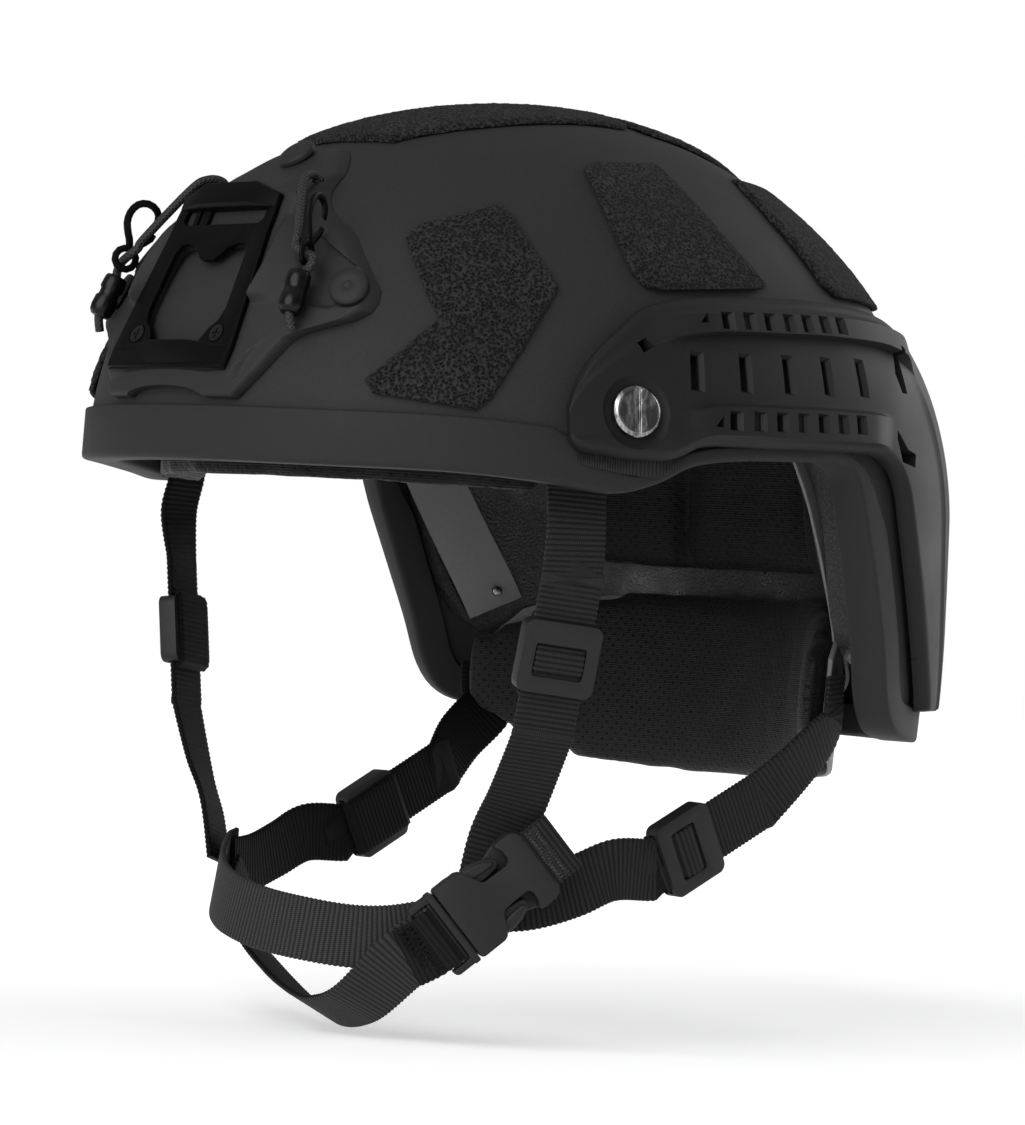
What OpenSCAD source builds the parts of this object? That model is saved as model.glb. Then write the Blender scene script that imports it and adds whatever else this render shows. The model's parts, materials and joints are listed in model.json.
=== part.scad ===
/* [Shell] */
// Half of the shell's width at its widest line
shell_half_w = 113; // [105:1:121]
// Length of the shell in front of the ear line
shell_front = 139; // [130:1:148]
// Length of the shell behind the ear line
shell_rear = 124; // [116:1:132]
// Height of the crown above the widest line
shell_crown = 115; // [108:1:122]
// Thickness of the ballistic shell
shell_t = 8; // [6.5:0.5:9.5]
// Squareness of the shell seen from above
plan_exp = 2.17; // [2.05:0.01:2.3]
// Squareness of the forehead profile
front_exp = 2.24; // [2.1:0.01:2.4]
// Squareness of the rear profile
rear_exp = 1.84; // [1.75:0.01:2.0]
// Share by which the skirt narrows 80 mm below the widest line
skirt_taper = 0.022; // [0.01:0.002:0.04]

/* [Rim] */
// Height of the brow edge above the widest line
brow_z = 2; // [0:0.5:4]
// Height of the cheek edge, the lowest point before the ear cut
cheek_z = 0; // [-2:0.5:2]
// Height of the ear cut's top edge
ear_top_z = 14; // [12:0.5:15]
// Depth of the nape edge below the widest line
nape_drop = 64; // [58:1:70]
// Angle from straight ahead to the front end of the ear cut
ear_front_a = 66; // [63:1:69]
// Angle from straight ahead to the rear top corner of the ear cut
ear_rear_a = 103; // [100:1:105]
// Angle from straight ahead to the corner of the ear cut and the nape
nape_a = 120; // [117:1:122]
// Thickness of the edge trim's rubber
trim_t = 1.2; // [0.8:0.1:1.3]
// Depth of the trim's lip on the brow
brow_lip = 14; // [10:1:15]
// Depth of the trim's lip elsewhere
trim_lip = 9; // [7:0.5:10]

/* [Liner and pads] */
// Thickness of the impact liner
liner_t = 11; // [9:1:13]
// Thickness of the comfort pads
pad_t = 11; // [8:1:13]
// Thickness of the nape pad
nape_pad_t = 10; // [8:1:12]
// Half width of the nape pad measured as an angle
nape_pad_a = 62; // [58:1:63]
// Height of the nape pad
nape_pad_h = 62; // [54:1:66]
// Distance of the nape pad's top edge below the widest line
nape_pad_top = 22; // [19:1:26]

/* [Shroud] */
// Half width of the shroud across its side bolts' wings
shroud_half_w = 58; // [55:1:61]
// Half width of the insert at its lower bar
insert_half_w = 27; // [25:0.5:29]
// Half width of the insert at its upper bar
insert_top_half_w = 20.5; // [18:0.5:21]
// Height of the insert along its slope
insert_h = 58; // [54:1:60]
// Lean of the insert from upright
insert_lean = 21.8; // [20:0.2:23]
// Thickness of the insert's plate
insert_t = 1.6; // [1.2:0.1:2]
// Diameter of the shroud bolts' heads
shroud_bolt_d = 11.5; // [10:0.5:12.5]

/* [Rails] */
// Thickness of the rail's web
rail_web = 4.5; // [4:0.25:5.5]
// Height of the rail's flanges above its web
rail_flange = 3; // [2:0.25:4]
// Diameter of the rail bolts' heads
rail_bolt_d = 14.5; // [13:0.5:16]
// Diameter of the rail bolts' shanks
rail_shank_d = 6; // [5:0.5:7]
// Spacing of the upright slots along the rail
slot_pitch = 16.5; // [15.5:0.25:17.5]
// Width of an upright slot
slot_w = 3.2; // [2.5:0.1:4]
// Length of an upright slot
slot_l = 10; // [8:0.5:12]

/* [Loop patches] */
// Thickness of the loop patches
patch_t = 1.6; // [1:0.1:2]

/* [Harness] */
// Width of the webbing
web_w = 18; // [16:0.5:19]
// Thickness of the webbing
web_t = 1.5; // [1.2:0.1:1.6]
// Drop of the jaw junction below the widest line
jaw_drop = 113; // [108:1:118]
// Travel of each strap slider up and down its strap
slider_travel = 10; // [6:1:12]
// Width of a strap slider, along the webbing's width
slider_w = 23; // [22.5:0.5:26]
// Length of a strap slider, along the strap
slider_l = 21; // [18:0.5:23]

/* [Buckle] */
// Width of the side-release buckle
buckle_w = 24; // [23.5:0.5:26]
// Thickness of the female half
buckle_t = 7; // [6.5:0.25:8]
// Length of the closed buckle
buckle_l = 38; // [36:1:42]

/* [Lanyards] */
// Diameter of the bungee cord
bungee_d = 2.6; // [2.2:0.1:3]
// Diameter of the crimped ferrule
ferrule_d = 8; // [7:0.25:8.5]

/* [Fit dial] */
// Diameter of the fit dial
dial_d = 24; // [20:1:26]
// Thickness of the fit dial's knob
dial_t = 6.5; // [5:0.5:6.5]

/* [Hidden] */
$fn = 40;

// Clearance between pieces that lie against each other
gap = 0.3;
// Clearance round the shank of a bolt or screw
shank_gap = 0.2;
// Clearance between the trim's rubber and the shell
trim_gap = 0.2;
// Clearance between the shell and the impact liner
liner_gap = 0.5;
// Room for the flats of the liner's inner face
liner_sag = 0.8;
// Clearance between a patch and the shell
patch_gap = 0.45;
// Offsets from the shell's outer face, negative towards the head
wall_in = -shell_t;
trim_out = trim_gap + trim_t;
trim_in = wall_in - trim_gap - trim_t;
liner_out = wall_in - liner_gap;
liner_in = liner_out - liner_t;
pad_out = liner_in - gap - liner_sag;
arm_t = 1.2;
// Bow of the curved wall across the width of a flat strip
strip_bow = 0.45;
arm_off = pad_out - strip_bow - arm_t / 2;
cradle_t = 1.5;
cradle_out = arm_off - arm_t / 2 - gap;
cradle_in = cradle_out - cradle_t;
rail_under = trim_out + gap;
rail_face = rail_under + rail_web;
// Height of the seat on the crown of the head above the widest line
seat_z = shell_crown + pad_out - pad_t;

// Distance between the columns of a wall's faces, and faces up a column
col_step = 12;
levels = 12;

// Blend between two values
function mix(a, b, t) = a + (b - a) * t;

// Smooth curve through four neighbouring values
function smooth4(a, b, c, d, t) =
    0.5 * (2 * b + (c - a) * t + (2 * a - 5 * b + 4 * c - d) * t * t
    + (3 * b - a - 3 * c + d) * t * t * t);

// Point on the smooth curve through keys, at share t of stretch i
function along(keys, i, t) =
    smooth4(keys[max(i - 1, 0)], keys[i], keys[i + 1], keys[min(i + 2, len(keys) - 1)], t);

// All points of a smooth curve through keys, n to a stretch
function curve(keys, n) =
    [for (i = [0:len(keys) - 2]) for (j = [0:n - 1]) along(keys, i, j / n), keys[len(keys) - 1]];

// Points of a straight-sided line through keys, n to a stretch
function line(keys, n) =
    [for (i = [0:len(keys) - 2]) for (j = [0:n - 1]) mix(keys[i], keys[i + 1], j / n),
    keys[len(keys) - 1]];

function unit(v) = v / norm(v);

// Plan radius of the shell at angle a from straight ahead, off outside its face
function plan_r(a, off) =
    pow(pow(abs(sin(a)) / (shell_half_w + off), plan_exp)
    + pow(abs(cos(a)) / ((cos(a) > 0 ? shell_front : shell_rear) + off), plan_exp), -1 / plan_exp);

// Exponent of the profile at angle a
function profile_exp(a) = mix(front_exp, rear_exp, (1 - cos(a)) / 2);

// Share of the plan radius that is left at height z
function rise(a, z, off) =
    z < 0 ? 1 - skirt_taper * pow(z / 80, 2)
    : pow(max(0, 1 - pow(z / (shell_crown + off), profile_exp(a))), 1 / profile_exp(a));

// Point at angle a and height z, off outside the shell's face
function on_shell(a, z, off) =
    let (r = plan_r(a, off) * rise(a, z, off)) [r * sin(a), -r * cos(a), z];

// Point over the plan position x, y, off outside the shell's face
function over_shell(x, y, off) =
    let (a = atan2(x, -y), q = profile_exp(a), s = norm([x, y]) / plan_r(a, off))
    [x, y, (shell_crown + off) * pow(max(0, 1 - pow(s, q)), 1 / q)];

// Distance of the brow's face ahead of the ear line at x, z
function brow_y(x, z, off) =
    let (s = rise(atan2(x, shell_front), z, off))
    (shell_front + off) * pow(pow(s, plan_exp) - pow(abs(x) / (shell_half_w + off), plan_exp),
    1 / plan_exp);

// Outward normal of the shell at angle a and height z
function wall_normal(a, z) =
    unit(cross(on_shell(a + 1, z, 0) - on_shell(a - 1, z, 0),
    on_shell(a, z + 1, 0) - on_shell(a, z - 1, 0)));

// Lower edge of the shell as angle and height, from the brow to the nape
rim_keys = [
    [0, brow_z], [20, brow_z], [38, brow_z + 0.5], [50, brow_z - 0.5],
    [ear_front_a - 7, cheek_z], [ear_front_a - 1, cheek_z + 3.5], [ear_front_a + 5, ear_top_z - 4.5],
    [ear_front_a + 14, ear_top_z - 1.6], [ear_rear_a - 11, ear_top_z],
    [ear_rear_a - 4, ear_top_z + 0.6], [ear_rear_a, ear_top_z - 3.5], [ear_rear_a + 3, -3],
    [ear_rear_a + 6.5, -19], [mix(ear_rear_a, nape_a, 0.6), 17 - 0.84 * nape_drop],
    [nape_a - 4, 12 - nape_drop], [nape_a - 0.5, 4 - nape_drop], [nape_a + 5, 1 - nape_drop],
    [nape_a + 16, -nape_drop], [150, -nape_drop], [165, -nape_drop], [180, -nape_drop]
];

// Lower edge of the impact liner as angle and height
liner_keys = [
    [0, brow_z + 10], [25, brow_z + 10], [ear_front_a - 21, brow_z + 12], [ear_front_a - 8, 36],
    [ear_front_a + 6, 38], [mix(ear_front_a, ear_rear_a, 0.54), 34], [ear_rear_a - 5, 28],
    [ear_rear_a + 0.5, 20], [ear_rear_a + 5, 8], [mix(ear_rear_a, nape_a, 0.56), -7],
    [nape_a - 5, -20], [nape_a - 2, 33 - nape_drop], [nape_a + 3, 25 - nape_drop],
    [nape_a + 11, 21 - nape_drop], [145, 20 - nape_drop], [165, 20 - nape_drop],
    [180, 20 - nape_drop]
];

// Columns of a whole edge: the half from keys, then its mirror
function edge_half(keys, step) =
    [for (i = [0:len(keys) - 2])
    let (d = keys[i + 1] - keys[i], n = max(1, ceil(norm([2 * d[0], d[1]]) / step)))
    for (j = [0:n - 1]) along(keys, i, j / n)];
function edge_loop(keys, step) =
    let (h = edge_half(keys, step), n = len(h))
    concat(h, [keys[len(keys) - 1]], [for (i = [1:n - 1]) [360 - h[n - i][0], h[n - i][1]]]);

rim = edge_loop(rim_keys, col_step);
liner_rim = edge_loop(liner_keys, 19);

// Closed dome between two offsets, open below along a rim
module dome_wall(edge, outer, inner, rows) {
    n = len(edge);
    side = n * rows;
    function column(c, k, off) =
        on_shell(c[0], c[1] + (shell_crown + off - c[1]) * sin(90 * k / rows), off);
    pts = concat(
        [for (off = [outer, inner]) for (c = edge) for (k = [0:rows - 1]) column(c, k, off)],
        [[0, 0, shell_crown + outer], [0, 0, shell_crown + inner]]);
    faces = [for (i = [0:n - 1]) let (a = i * rows, b = ((i + 1) % n) * rows) each concat(
        [for (k = [0:rows - 2]) each [
            [a + k, a + k + 1, b + k + 1], [a + k, b + k + 1, b + k],
            [side + a + k, side + b + k + 1, side + a + k + 1],
            [side + a + k, side + b + k, side + b + k + 1]]],
        [[a + rows - 1, 2 * side, b + rows - 1],
        [side + a + rows - 1, side + b + rows - 1, 2 * side + 1],
        [a, b, side + b], [a, side + b, side + a]])];
    polyhedron(pts, faces);
}

// Closed sheet between two grids of points; rows run along it, columns across it
module sheet_solid(top, under) {
    m = len(top);
    n = len(top[0]);
    u = m * n;
    pts = concat([for (r = top) each r], [for (r = under) each r]);
    quads = [for (i = [0:m - 2]) for (j = [0:n - 2]) let (a = i * n + j) each [
        [a, a + 1, a + n + 1], [a, a + n + 1, a + n],
        [u + a, u + a + n + 1, u + a + 1], [u + a, u + a + n, u + a + n + 1]]];
    long_edges = [for (i = [0:m - 2]) let (a = i * n, b = i * n + n - 1) each [
        [a, a + n, u + a + n], [a, u + a + n, u + a],
        [b + n, b, u + b], [b + n, u + b, u + b + n]]];
    end_edges = [for (j = [0:n - 2]) let (a = j, b = (m - 1) * n + j) each [
        [a + 1, a, u + a], [a + 1, u + a, u + a + 1],
        [b, b + 1, u + b + 1], [b, u + b + 1, u + b]]];
    polyhedron(pts, concat(quads, long_edges, end_edges));
}

// Solid through a list of rings that turn right-handed about the way they run
module loft(rings, closed = false) {
    m = len(rings);
    n = len(rings[0]);
    last = closed ? m - 1 : m - 2;
    faces = [for (i = [0:last]) for (j = [0:n - 1])
        let (a = i * n + j, b = i * n + (j + 1) % n, d = ((i + 1) % m) * n + j,
        c = ((i + 1) % m) * n + (j + 1) % n) each [[a, c, b], [a, d, c]]];
    caps = closed ? [] : [
        [for (j = [0:n - 1]) j], [for (j = [0:n - 1]) (m - 1) * n + n - 1 - j]];
    polyhedron([for (r = rings) each r], concat(faces, caps));
}

// Flat band along a path; outs are the ways that its outer face looks
module band(path, outs, w, t, n) {
    p = curve(path, n);
    o = curve(outs, n);
    m = len(p) - 1;
    loft([for (i = [0:m])
        let (run = unit(p[min(i + 1, m)] - p[max(i - 1, 0)]), side = unit(cross(run, o[i])),
        face = cross(side, run))
        [p[i] - side * w / 2 + face * t / 2, p[i] + side * w / 2 + face * t / 2,
        p[i] + side * w / 2 - face * t / 2, p[i] - side * w / 2 - face * t / 2]]);
}

// Round cord along a path
module cord(path, d, n, sides) {
    p = curve(path, n);
    m = len(p) - 1;
    loft([for (i = [0:m])
        let (run = unit(p[min(i + 1, m)] - p[max(i - 1, 0)]),
        side = unit(cross(run, [0.3, 0.1, 1])), up = cross(side, run))
        [for (s = [0:sides - 1]) let (a = 360 * s / sides)
        p[i] + (side * cos(a) - up * sin(a)) * d / 2]]);
}

// Children stand on the shell at angle a and height z, with +Z outward and +X down the wall
module on_wall(a, z, off) {
    v = wall_normal(a, z);
    translate(on_shell(a, z, 0) + v * off)
        rotate([0, acos(v[2]), atan2(v[1], v[0])])
        children();
}

// Children move from the widest line's height to the seat's frame
module seated() {
    translate([0, 0, -seat_z]) children();
}

// Piece on one side of the head: 1 is the wearer's left, -1 the right
module sided(side) {
    if (side > 0) children();
    else mirror([1, 0, 0]) children();
}

// Places of the bolts as angle and height on the shell
rail_bolt_a = ear_front_a - 5.5;
rail_bolt_z = cheek_z + 20.5;
rear_bolt_a = nape_a + 3;
rear_bolt_z = 4;
wing_bolt_a = 23.5;
wing_bolt_z = 49;
lobe_bolt_z = 88.6;
shroud_shank_d = 5;

// Bores through the wall for the bolts' shanks
module wall_bores(d) {
    for (s = [-1, 1]) sided(s) {
        on_wall(rail_bolt_a, rail_bolt_z, -shell_t - 5) cylinder(d = d, h = shell_t + 20);
        on_wall(rear_bolt_a, rear_bolt_z, -shell_t - 5) cylinder(d = d, h = shell_t + 20);
    }
}

// Bores through the wall for the shroud's bolts
module brow_bores(d) {
    for (a = [-wing_bolt_a, wing_bolt_a])
        on_wall(a, wing_bolt_z, -shell_t - 5) cylinder(d = d, h = shell_t + 25);
    on_wall(0, lobe_bolt_z, -shell_t - 5) cylinder(d = d, h = shell_t + 25);
}

module shell() {
    color([0.075, 0.075, 0.08]) seated() difference() {
        dome_wall(rim, 0, wall_in, levels);
        wall_bores(rail_shank_d + 2 * shank_gap);
        brow_bores(shroud_shank_d + 2 * shank_gap);
    }
}

// Angles between which the trim's lip gets shallow for the ear cut, and its depth there
lip_a0 = ear_front_a - 16;
lip_a1 = ear_front_a - 4;
lip_a2 = ear_rear_a - 1;
lip_a3 = ear_rear_a + 4;
ear_lip = 3;

// Channel of rubber round the shell's whole edge
module rim_trim() {
    n = len(rim);
    function edge_at(i, off) = on_shell(rim[(i + n) % n][0], rim[(i + n) % n][1], off);
    function lip(i) = let (a = min(rim[i][0], 360 - rim[i][0]))
        a < lip_a0 ? brow_lip : a < lip_a1 ? mix(brow_lip, ear_lip, (a - lip_a0) / (lip_a1 - lip_a0))
        : a < lip_a2 ? ear_lip : a < lip_a3 ? mix(ear_lip, trim_lip, (a - lip_a2) / (lip_a3 - lip_a2))
        : trim_lip;
    function inner_lip(i) = let (a = min(rim[i][0], 360 - rim[i][0]))
        a > lip_a0 - 6 && a < lip_a2 ? max(ear_lip, trim_lip + lip_a0 - 6 - a)
        : min(lip(i), trim_lip);
    color([0.06, 0.06, 0.062]) seated() loft([for (i = [0:n - 1])
        let (p = edge_at(i, 0), q = edge_at(i, wall_in),
        run = unit(edge_at(i + 1, 0) - edge_at(i - 1, 0)), face = wall_normal(rim[i][0], rim[i][1]),
        up = unit(cross(face, run)), o = p - up * trim_gap, k = q - up * trim_gap,
        low = trim_t, tall = lip(i), in_tall = inner_lip(i),
        lean = 0.25 + in_tall * in_tall / 150)
        [o + face * trim_out + up * tall, o + face * trim_out - up * low,
        k - face * (trim_gap + trim_t) - up * low,
        k - face * (trim_gap + trim_t + lean) + up * in_tall,
        k - face * (trim_gap + lean) + up * in_tall, k - face * trim_gap, o + face * trim_gap,
        o + face * trim_gap + up * tall]], closed = true);
}

// Places of the screws that hold the fit arms' front ends
arm_screw_a = 108;
arm_screw_z = 19;
arm_screw_d = 3;

// Depth of the liner's pockets over the nuts and bolt heads
nut_room = 4.6;
// Face of the nuts and bolt heads that lie against the wall's inner face
nut_off = wall_in - 0.9;

module impact_liner() {
    color([0.12, 0.12, 0.125]) seated() difference() {
        dome_wall(liner_rim, liner_out, liner_in, 10);
        for (s = [-1, 1]) sided(s) {
            on_wall(arm_screw_a, arm_screw_z, liner_in - 8)
                cylinder(d = arm_screw_d + 2 * shank_gap, h = liner_t + 14);
            on_wall(rear_bolt_a, rear_bolt_z, liner_out - nut_room) cylinder(d = 13, h = nut_room + 3);
            on_wall(wing_bolt_a, wing_bolt_z, liner_out - nut_room) cylinder(d = 14, h = nut_room + 3);
        }
        on_wall(0, lobe_bolt_z, liner_out - nut_room) cylinder(d = 14, h = nut_room + 3);
    }
}

// Fullness of a cushion at u, v in -1 to 1, with channels across at the seams
function fullness(u, v, seams) =
    (0.3 + 0.7 * sqrt(max(0, (1 - pow(abs(u), 5)) * (1 - pow(abs(v), 5)))))
    * (len([for (s = seams) if (abs(u - s) < 0.05) s]) > 0 ? 0.6 : 1);

// Share of the half size that a cushion's outline keeps at v along its other side
function drawn(v, corner) = (1 - 0.04 * (1 - v * v)) * (1 - corner * pow(abs(v), 4));

// Cushion against the wall between two angles and two heights
module wall_cushion(a0, a1, z0, z1, out, t, seams, corner, m, n) {
    function spot(u, v, off) =
        on_shell(mix(a0, a1, 0.5 + 0.5 * u * drawn(v, corner / 2)),
        mix(z0, z1, 0.5 + 0.5 * v * drawn(u, corner)), off);
    us = [for (i = [0:m]) 2 * i / m - 1];
    vs = [for (j = [0:n]) sin(90 * (2 * j / n - 1))];
    sheet_solid([for (u = us) [for (v = vs) spot(u, v, out)]],
        [for (u = us) [for (v = vs) spot(u, v, out - t * fullness(u, v, seams))]]);
}

module brow_pad() {
    color([0.05, 0.05, 0.052]) seated()
        wall_cushion(-54, 54, brow_z - 6, 34, pad_out, pad_t, [-0.5, 0, 0.5], 0.1, 20, 6);
}

module crown_pad() {
    function spot(u, v, off) =
        over_shell(46 * u * drawn(v, 0.1), 52 * v * drawn(u, 0.1), off);
    us = [for (i = [-4:4]) i / 4];
    vs = [for (j = [-4:4]) j / 4];
    color([0.05, 0.05, 0.052]) seated()
        sheet_solid([for (u = us) [for (v = vs) spot(u, v, pad_out)]],
        [for (u = us) [for (v = vs) spot(u, v, pad_out - pad_t * fullness(u, v, [0]))]]);
}

module side_pad(side) {
    color([0.05, 0.05, 0.052]) seated() sided(side)
        wall_cushion(64, 98, 33, 66, pad_out, pad_t, [0], 0.14, 8, 6);
}
module left_side_pad() { side_pad(1); }
module right_side_pad() { side_pad(-1); }

module rear_pad() {
    color([0.05, 0.05, 0.052]) seated()
        wall_cushion(140, 220, -19, 36, pad_out, pad_t, [-0.4, 0.4], 0.12, 20, 6);
}

// Front of the insert's plate, as distance ahead of the ear line at height z
insert_foot_z = 26;
insert_foot_y = shell_front + 2.3;
function insert_y(z) = insert_foot_y - (z - insert_foot_z) * tan(insert_lean);

// Children stand on the insert's front plane: +X to the left, +Y up the slope, +Z ahead
module on_insert() {
    translate([0, -insert_foot_y, insert_foot_z]) rotate([90 - insert_lean, 0, 0]) children();
}

screw_x = 18.2;
screw_up = 10.6;
screw_d = 3;
screw_head_d = 5.2;
wing_t = 3.4;
wing_face = gap + wing_t;
bolt_sink = 0.6;

// Half width of the shroud's outline at height z
shroud_side = [
    [18.6, 0.55], [26, 0.6], [34, 0.66], [39, 0.84], [42, 0.97], [47, 1], [52, 0.985], [60, 0.83],
    [66, 0.73], [71.5, 0.64], [76, 0.5], [80, 0.42], [84, 0.41], [88, 0.385], [91, 0.32], [93.5, 0.2]
];

// Way of the lanyard's cord into the shroud's lobe
cord_hole_a = 11.2;
cord_hole_z = 79.5;

// Arch on the underside of the shroud's skirt: half its chord and its height
arch_half = 19;
arch_rise = 3;
arch_r = (arch_half * arch_half + arch_rise * arch_rise) / (2 * arch_rise);

// Base of the shroud: wings and lobe on the shell, raised in the middle to carry the insert
module shroud_base() {
    function seat_half(z) = z > 79 ? 0 : mix(insert_half_w, insert_top_half_w, (z - 26) / 50) + 1;
    function fronts(x, z, w) =
        let (low = brow_y(x, z, gap), lip = brow_y(x, z, abs(x) > w - 0.6 ? gap + 1.6 : wing_face),
        back = insert_y(max(z, insert_foot_z)) - (insert_t + 0.15) / cos(insert_lean),
        body = z < insert_foot_z ? mix(low + 0.8, back, (z - 18.6) / (insert_foot_z - 18.6)) : back,
        s = seat_half(z), share = max(0, 1 - max(0, abs(x) - s) / (z < 43 ? 13 : 8)))
        s > 0 && abs(x) <= s + 0.01 ? max(low + 0.6, body) : max(lip, mix(lip, body, share));
    rows = [for (i = [0:len(shroud_side) - 1]) let (z = shroud_side[i][0],
        w = shroud_side[i][1] * shroud_half_w, s = min(seat_half(z), w - 3))
        [for (x = s > 4 ? [-w, -w + 1.5, -mix(s, w, 0.6), -s, -s * 0.6, 0, s * 0.6, s,
        mix(s, w, 0.6), w - 1.5, w]
        : [-w, -w + 1.5, -w * 0.7, -w * 0.5, -w * 0.25, 0, w * 0.25, w * 0.5, w * 0.7, w - 1.5, w])
        [x, z, w]]];
    color([0.07, 0.07, 0.073]) seated() difference() {
        sheet_solid([for (j = [0:10]) [for (r = rows) [r[j][0], -fronts(r[j][0], r[j][1], r[j][2]),
            r[j][1]]]],
            [for (j = [0:10]) [for (r = rows) [r[j][0], -brow_y(r[j][0], r[j][1], gap), r[j][1]]]]);
        on_insert() {
            translate([-16.5, 9, -20]) cube([33, 25, 40]);
            for (x = [-screw_x, screw_x])
                translate([x, screw_up, -insert_t - 1.6]) cylinder(d = screw_d + 0.1, h = 6);
        }
        translate([0, -insert_foot_y - 5, 18.6 + arch_rise - arch_r]) rotate([-90, 0, 0])
            cylinder(r = arch_r, h = 40, $fn = 144);
        brow_bores(shroud_shank_d + 2 * shank_gap);
        for (a = [-wing_bolt_a, wing_bolt_a])
            on_wall(a, wing_bolt_z, wing_face - bolt_sink) cylinder(d = shroud_bolt_d + 1, h = 14);
        on_wall(0, lobe_bolt_z, wing_face - bolt_sink) cylinder(d = shroud_bolt_d + 1, h = 14);
        for (a = [-cord_hole_a, cord_hole_a])
            on_wall(a, cord_hole_z, 1) cylinder(d = bungee_d + 0.8, h = 14);
    }
}

// Outline of the insert's plate, with its window and its slot
module insert_plate() {
    w = insert_half_w - 2.5;
    v = insert_top_half_w;
    difference() {
        polygon([[-w, 0.5], [w, 0.5], [mix(w, v, 0.7), 34], [v, insert_h - 12], [v, insert_h - 4],
            [-v, insert_h - 4], [-v, insert_h - 12], [-mix(w, v, 0.7), 34]]);
        polygon([[-11, 9.5], [11, 9.5], [15, 16], [17, 18.5], [16, 33], [12.5, 37], [7, 37],
            [3, 32.5], [-3, 32.5], [-7, 37], [-12.5, 37], [-16, 33], [-17, 18.5], [-15, 16]]);
        translate([-16, insert_h - 12.4]) square([32, 6]);
    }
}

// Bar across the insert: its outline seen from ahead, cut to its section
module insert_bar(outline, section) {
    intersection() {
        translate([0, 0, -insert_t]) linear_extrude(insert_t + 4) polygon(outline);
        translate([-insert_half_w - 1, 0, 0]) rotate([90, 0, 90])
            linear_extrude(2 * insert_half_w + 2) polygon(section);
    }
}

module shroud_insert() {
    w = insert_half_w - 0.6;
    v = insert_top_half_w + 0.5;
    top = insert_h + 0.6;
    color([0.035, 0.035, 0.037]) seated() on_insert() difference() {
        union() {
            translate([0, 0, -insert_t]) linear_extrude(insert_t) insert_plate();
            insert_bar([[-w, 0.4], [w, 0.4], [14.5, 9.4], [-14.5, 9.4]],
                [[0.4, -insert_t], [9.4, -insert_t], [9.4, 0], [7.4, 0.2], [6.4, 2.8], [4.8, 2.8],
                [0.4, -1.1]]);
            insert_bar([[-v, top - 7], [v, top - 7], [v, top - 5.5], [15.7, top], [-15.7, top],
                [-v, top - 5.5]],
                [[top - 7, -insert_t], [top, -insert_t], [top, 0.6], [top - 1.6, 2.2],
                [top - 6.2, 2.2], [top - 7, 1.2]]);
        }
        for (x = [-screw_x, screw_x]) translate([x, screw_up, -insert_t - 1]) {
            cylinder(d = screw_d + 2 * shank_gap, h = insert_t + 3);
            translate([0, 0, insert_t + 0.2]) cylinder(d = screw_head_d + 0.4, h = 3);
        }
    }
}

module insert_screws() {
    color([0.1, 0.1, 0.1]) seated() on_insert()
        for (x = [-screw_x, screw_x]) translate([x, screw_up, 0]) difference() {
            union() {
                translate([0, 0, -insert_t - 1.4]) cylinder(d = screw_d, h = insert_t + 1.4);
                translate([0, 0, -0.7]) cylinder(d = screw_head_d, h = 0.9);
            }
            for (r = [0, 90]) rotate([0, 0, r]) translate([-1.6, -0.35, -0.3]) cube([3.2, 0.7, 2]);
        }
}

// Round-headed bolt through the wall, its head's underside at off
module wall_bolt(head_d, head_t, shank_d, off, deep) {
    translate([0, 0, off]) rotate_extrude() polygon([[0, 0], [head_d / 2, 0],
        [head_d / 2, head_t - 0.8], [head_d / 2 - 1, head_t], [0, head_t]]);
    translate([0, 0, -deep]) cylinder(d = shank_d, h = deep + off + 0.1);
}

module shroud_bolts() {
    off = wing_face - bolt_sink + 0.1;
    deep = shell_t + 4;
    color([0.06, 0.06, 0.062]) seated() {
        for (a = [-wing_bolt_a, wing_bolt_a])
            on_wall(a, wing_bolt_z, 0) wall_bolt(shroud_bolt_d, 2.4, shroud_shank_d, off, deep);
        on_wall(0, lobe_bolt_z, 0) wall_bolt(shroud_bolt_d, 2.4, shroud_shank_d, off, deep);
    }
}

// Flanged nut on the inner face of the wall
module wall_nut(flange_d, t, bore_d, off) {
    translate([0, 0, off - t]) difference() {
        cylinder(d = flange_d, h = t);
        translate([0, 0, -1]) cylinder(d = bore_d, h = t + 2);
    }
}

module shroud_nuts() {
    t = 3;
    color([0.4, 0.4, 0.42]) seated() {
        for (a = [-wing_bolt_a, wing_bolt_a])
            on_wall(a, wing_bolt_z, 0)
                wall_nut(12, t, shroud_shank_d + 0.1, nut_off);
        on_wall(0, lobe_bolt_z, 0) wall_nut(12, t, shroud_shank_d + 0.1, nut_off);
    }
}

// Edges of the rail from its nose to the foot of its leg: lower or front edge, then upper or rear
rail_low = [
    [ear_front_a - 13.5, cheek_z + 11.5], [ear_front_a - 12, cheek_z + 9.2],
    [ear_front_a - 9, cheek_z + 8.6], [ear_front_a - 5.5, cheek_z + 8], [ear_front_a - 0.5, 8.4],
    [ear_front_a + 2.5, 10.5], [ear_front_a + 5.5, ear_top_z - 0.6], [77, ear_top_z + 0.4],
    [84, ear_top_z + 1], [91, ear_top_z + 1.8], [98, ear_top_z + 2.4], [ear_rear_a, ear_top_z + 2.8],
    [ear_rear_a + 4, ear_top_z + 2], [ear_rear_a + 7, 12.8], [ear_rear_a + 9, 7],
    [ear_rear_a + 10.3, 0], [nape_a - 5, -8], [nape_a - 3.2, -16], [nape_a - 1, -25],
    [nape_a + 1.3, -34], [nape_a + 4, 20.5 - nape_drop], [nape_a + 6.5, 13 - nape_drop],
    [nape_a + 8, 8 - nape_drop]
];
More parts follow.
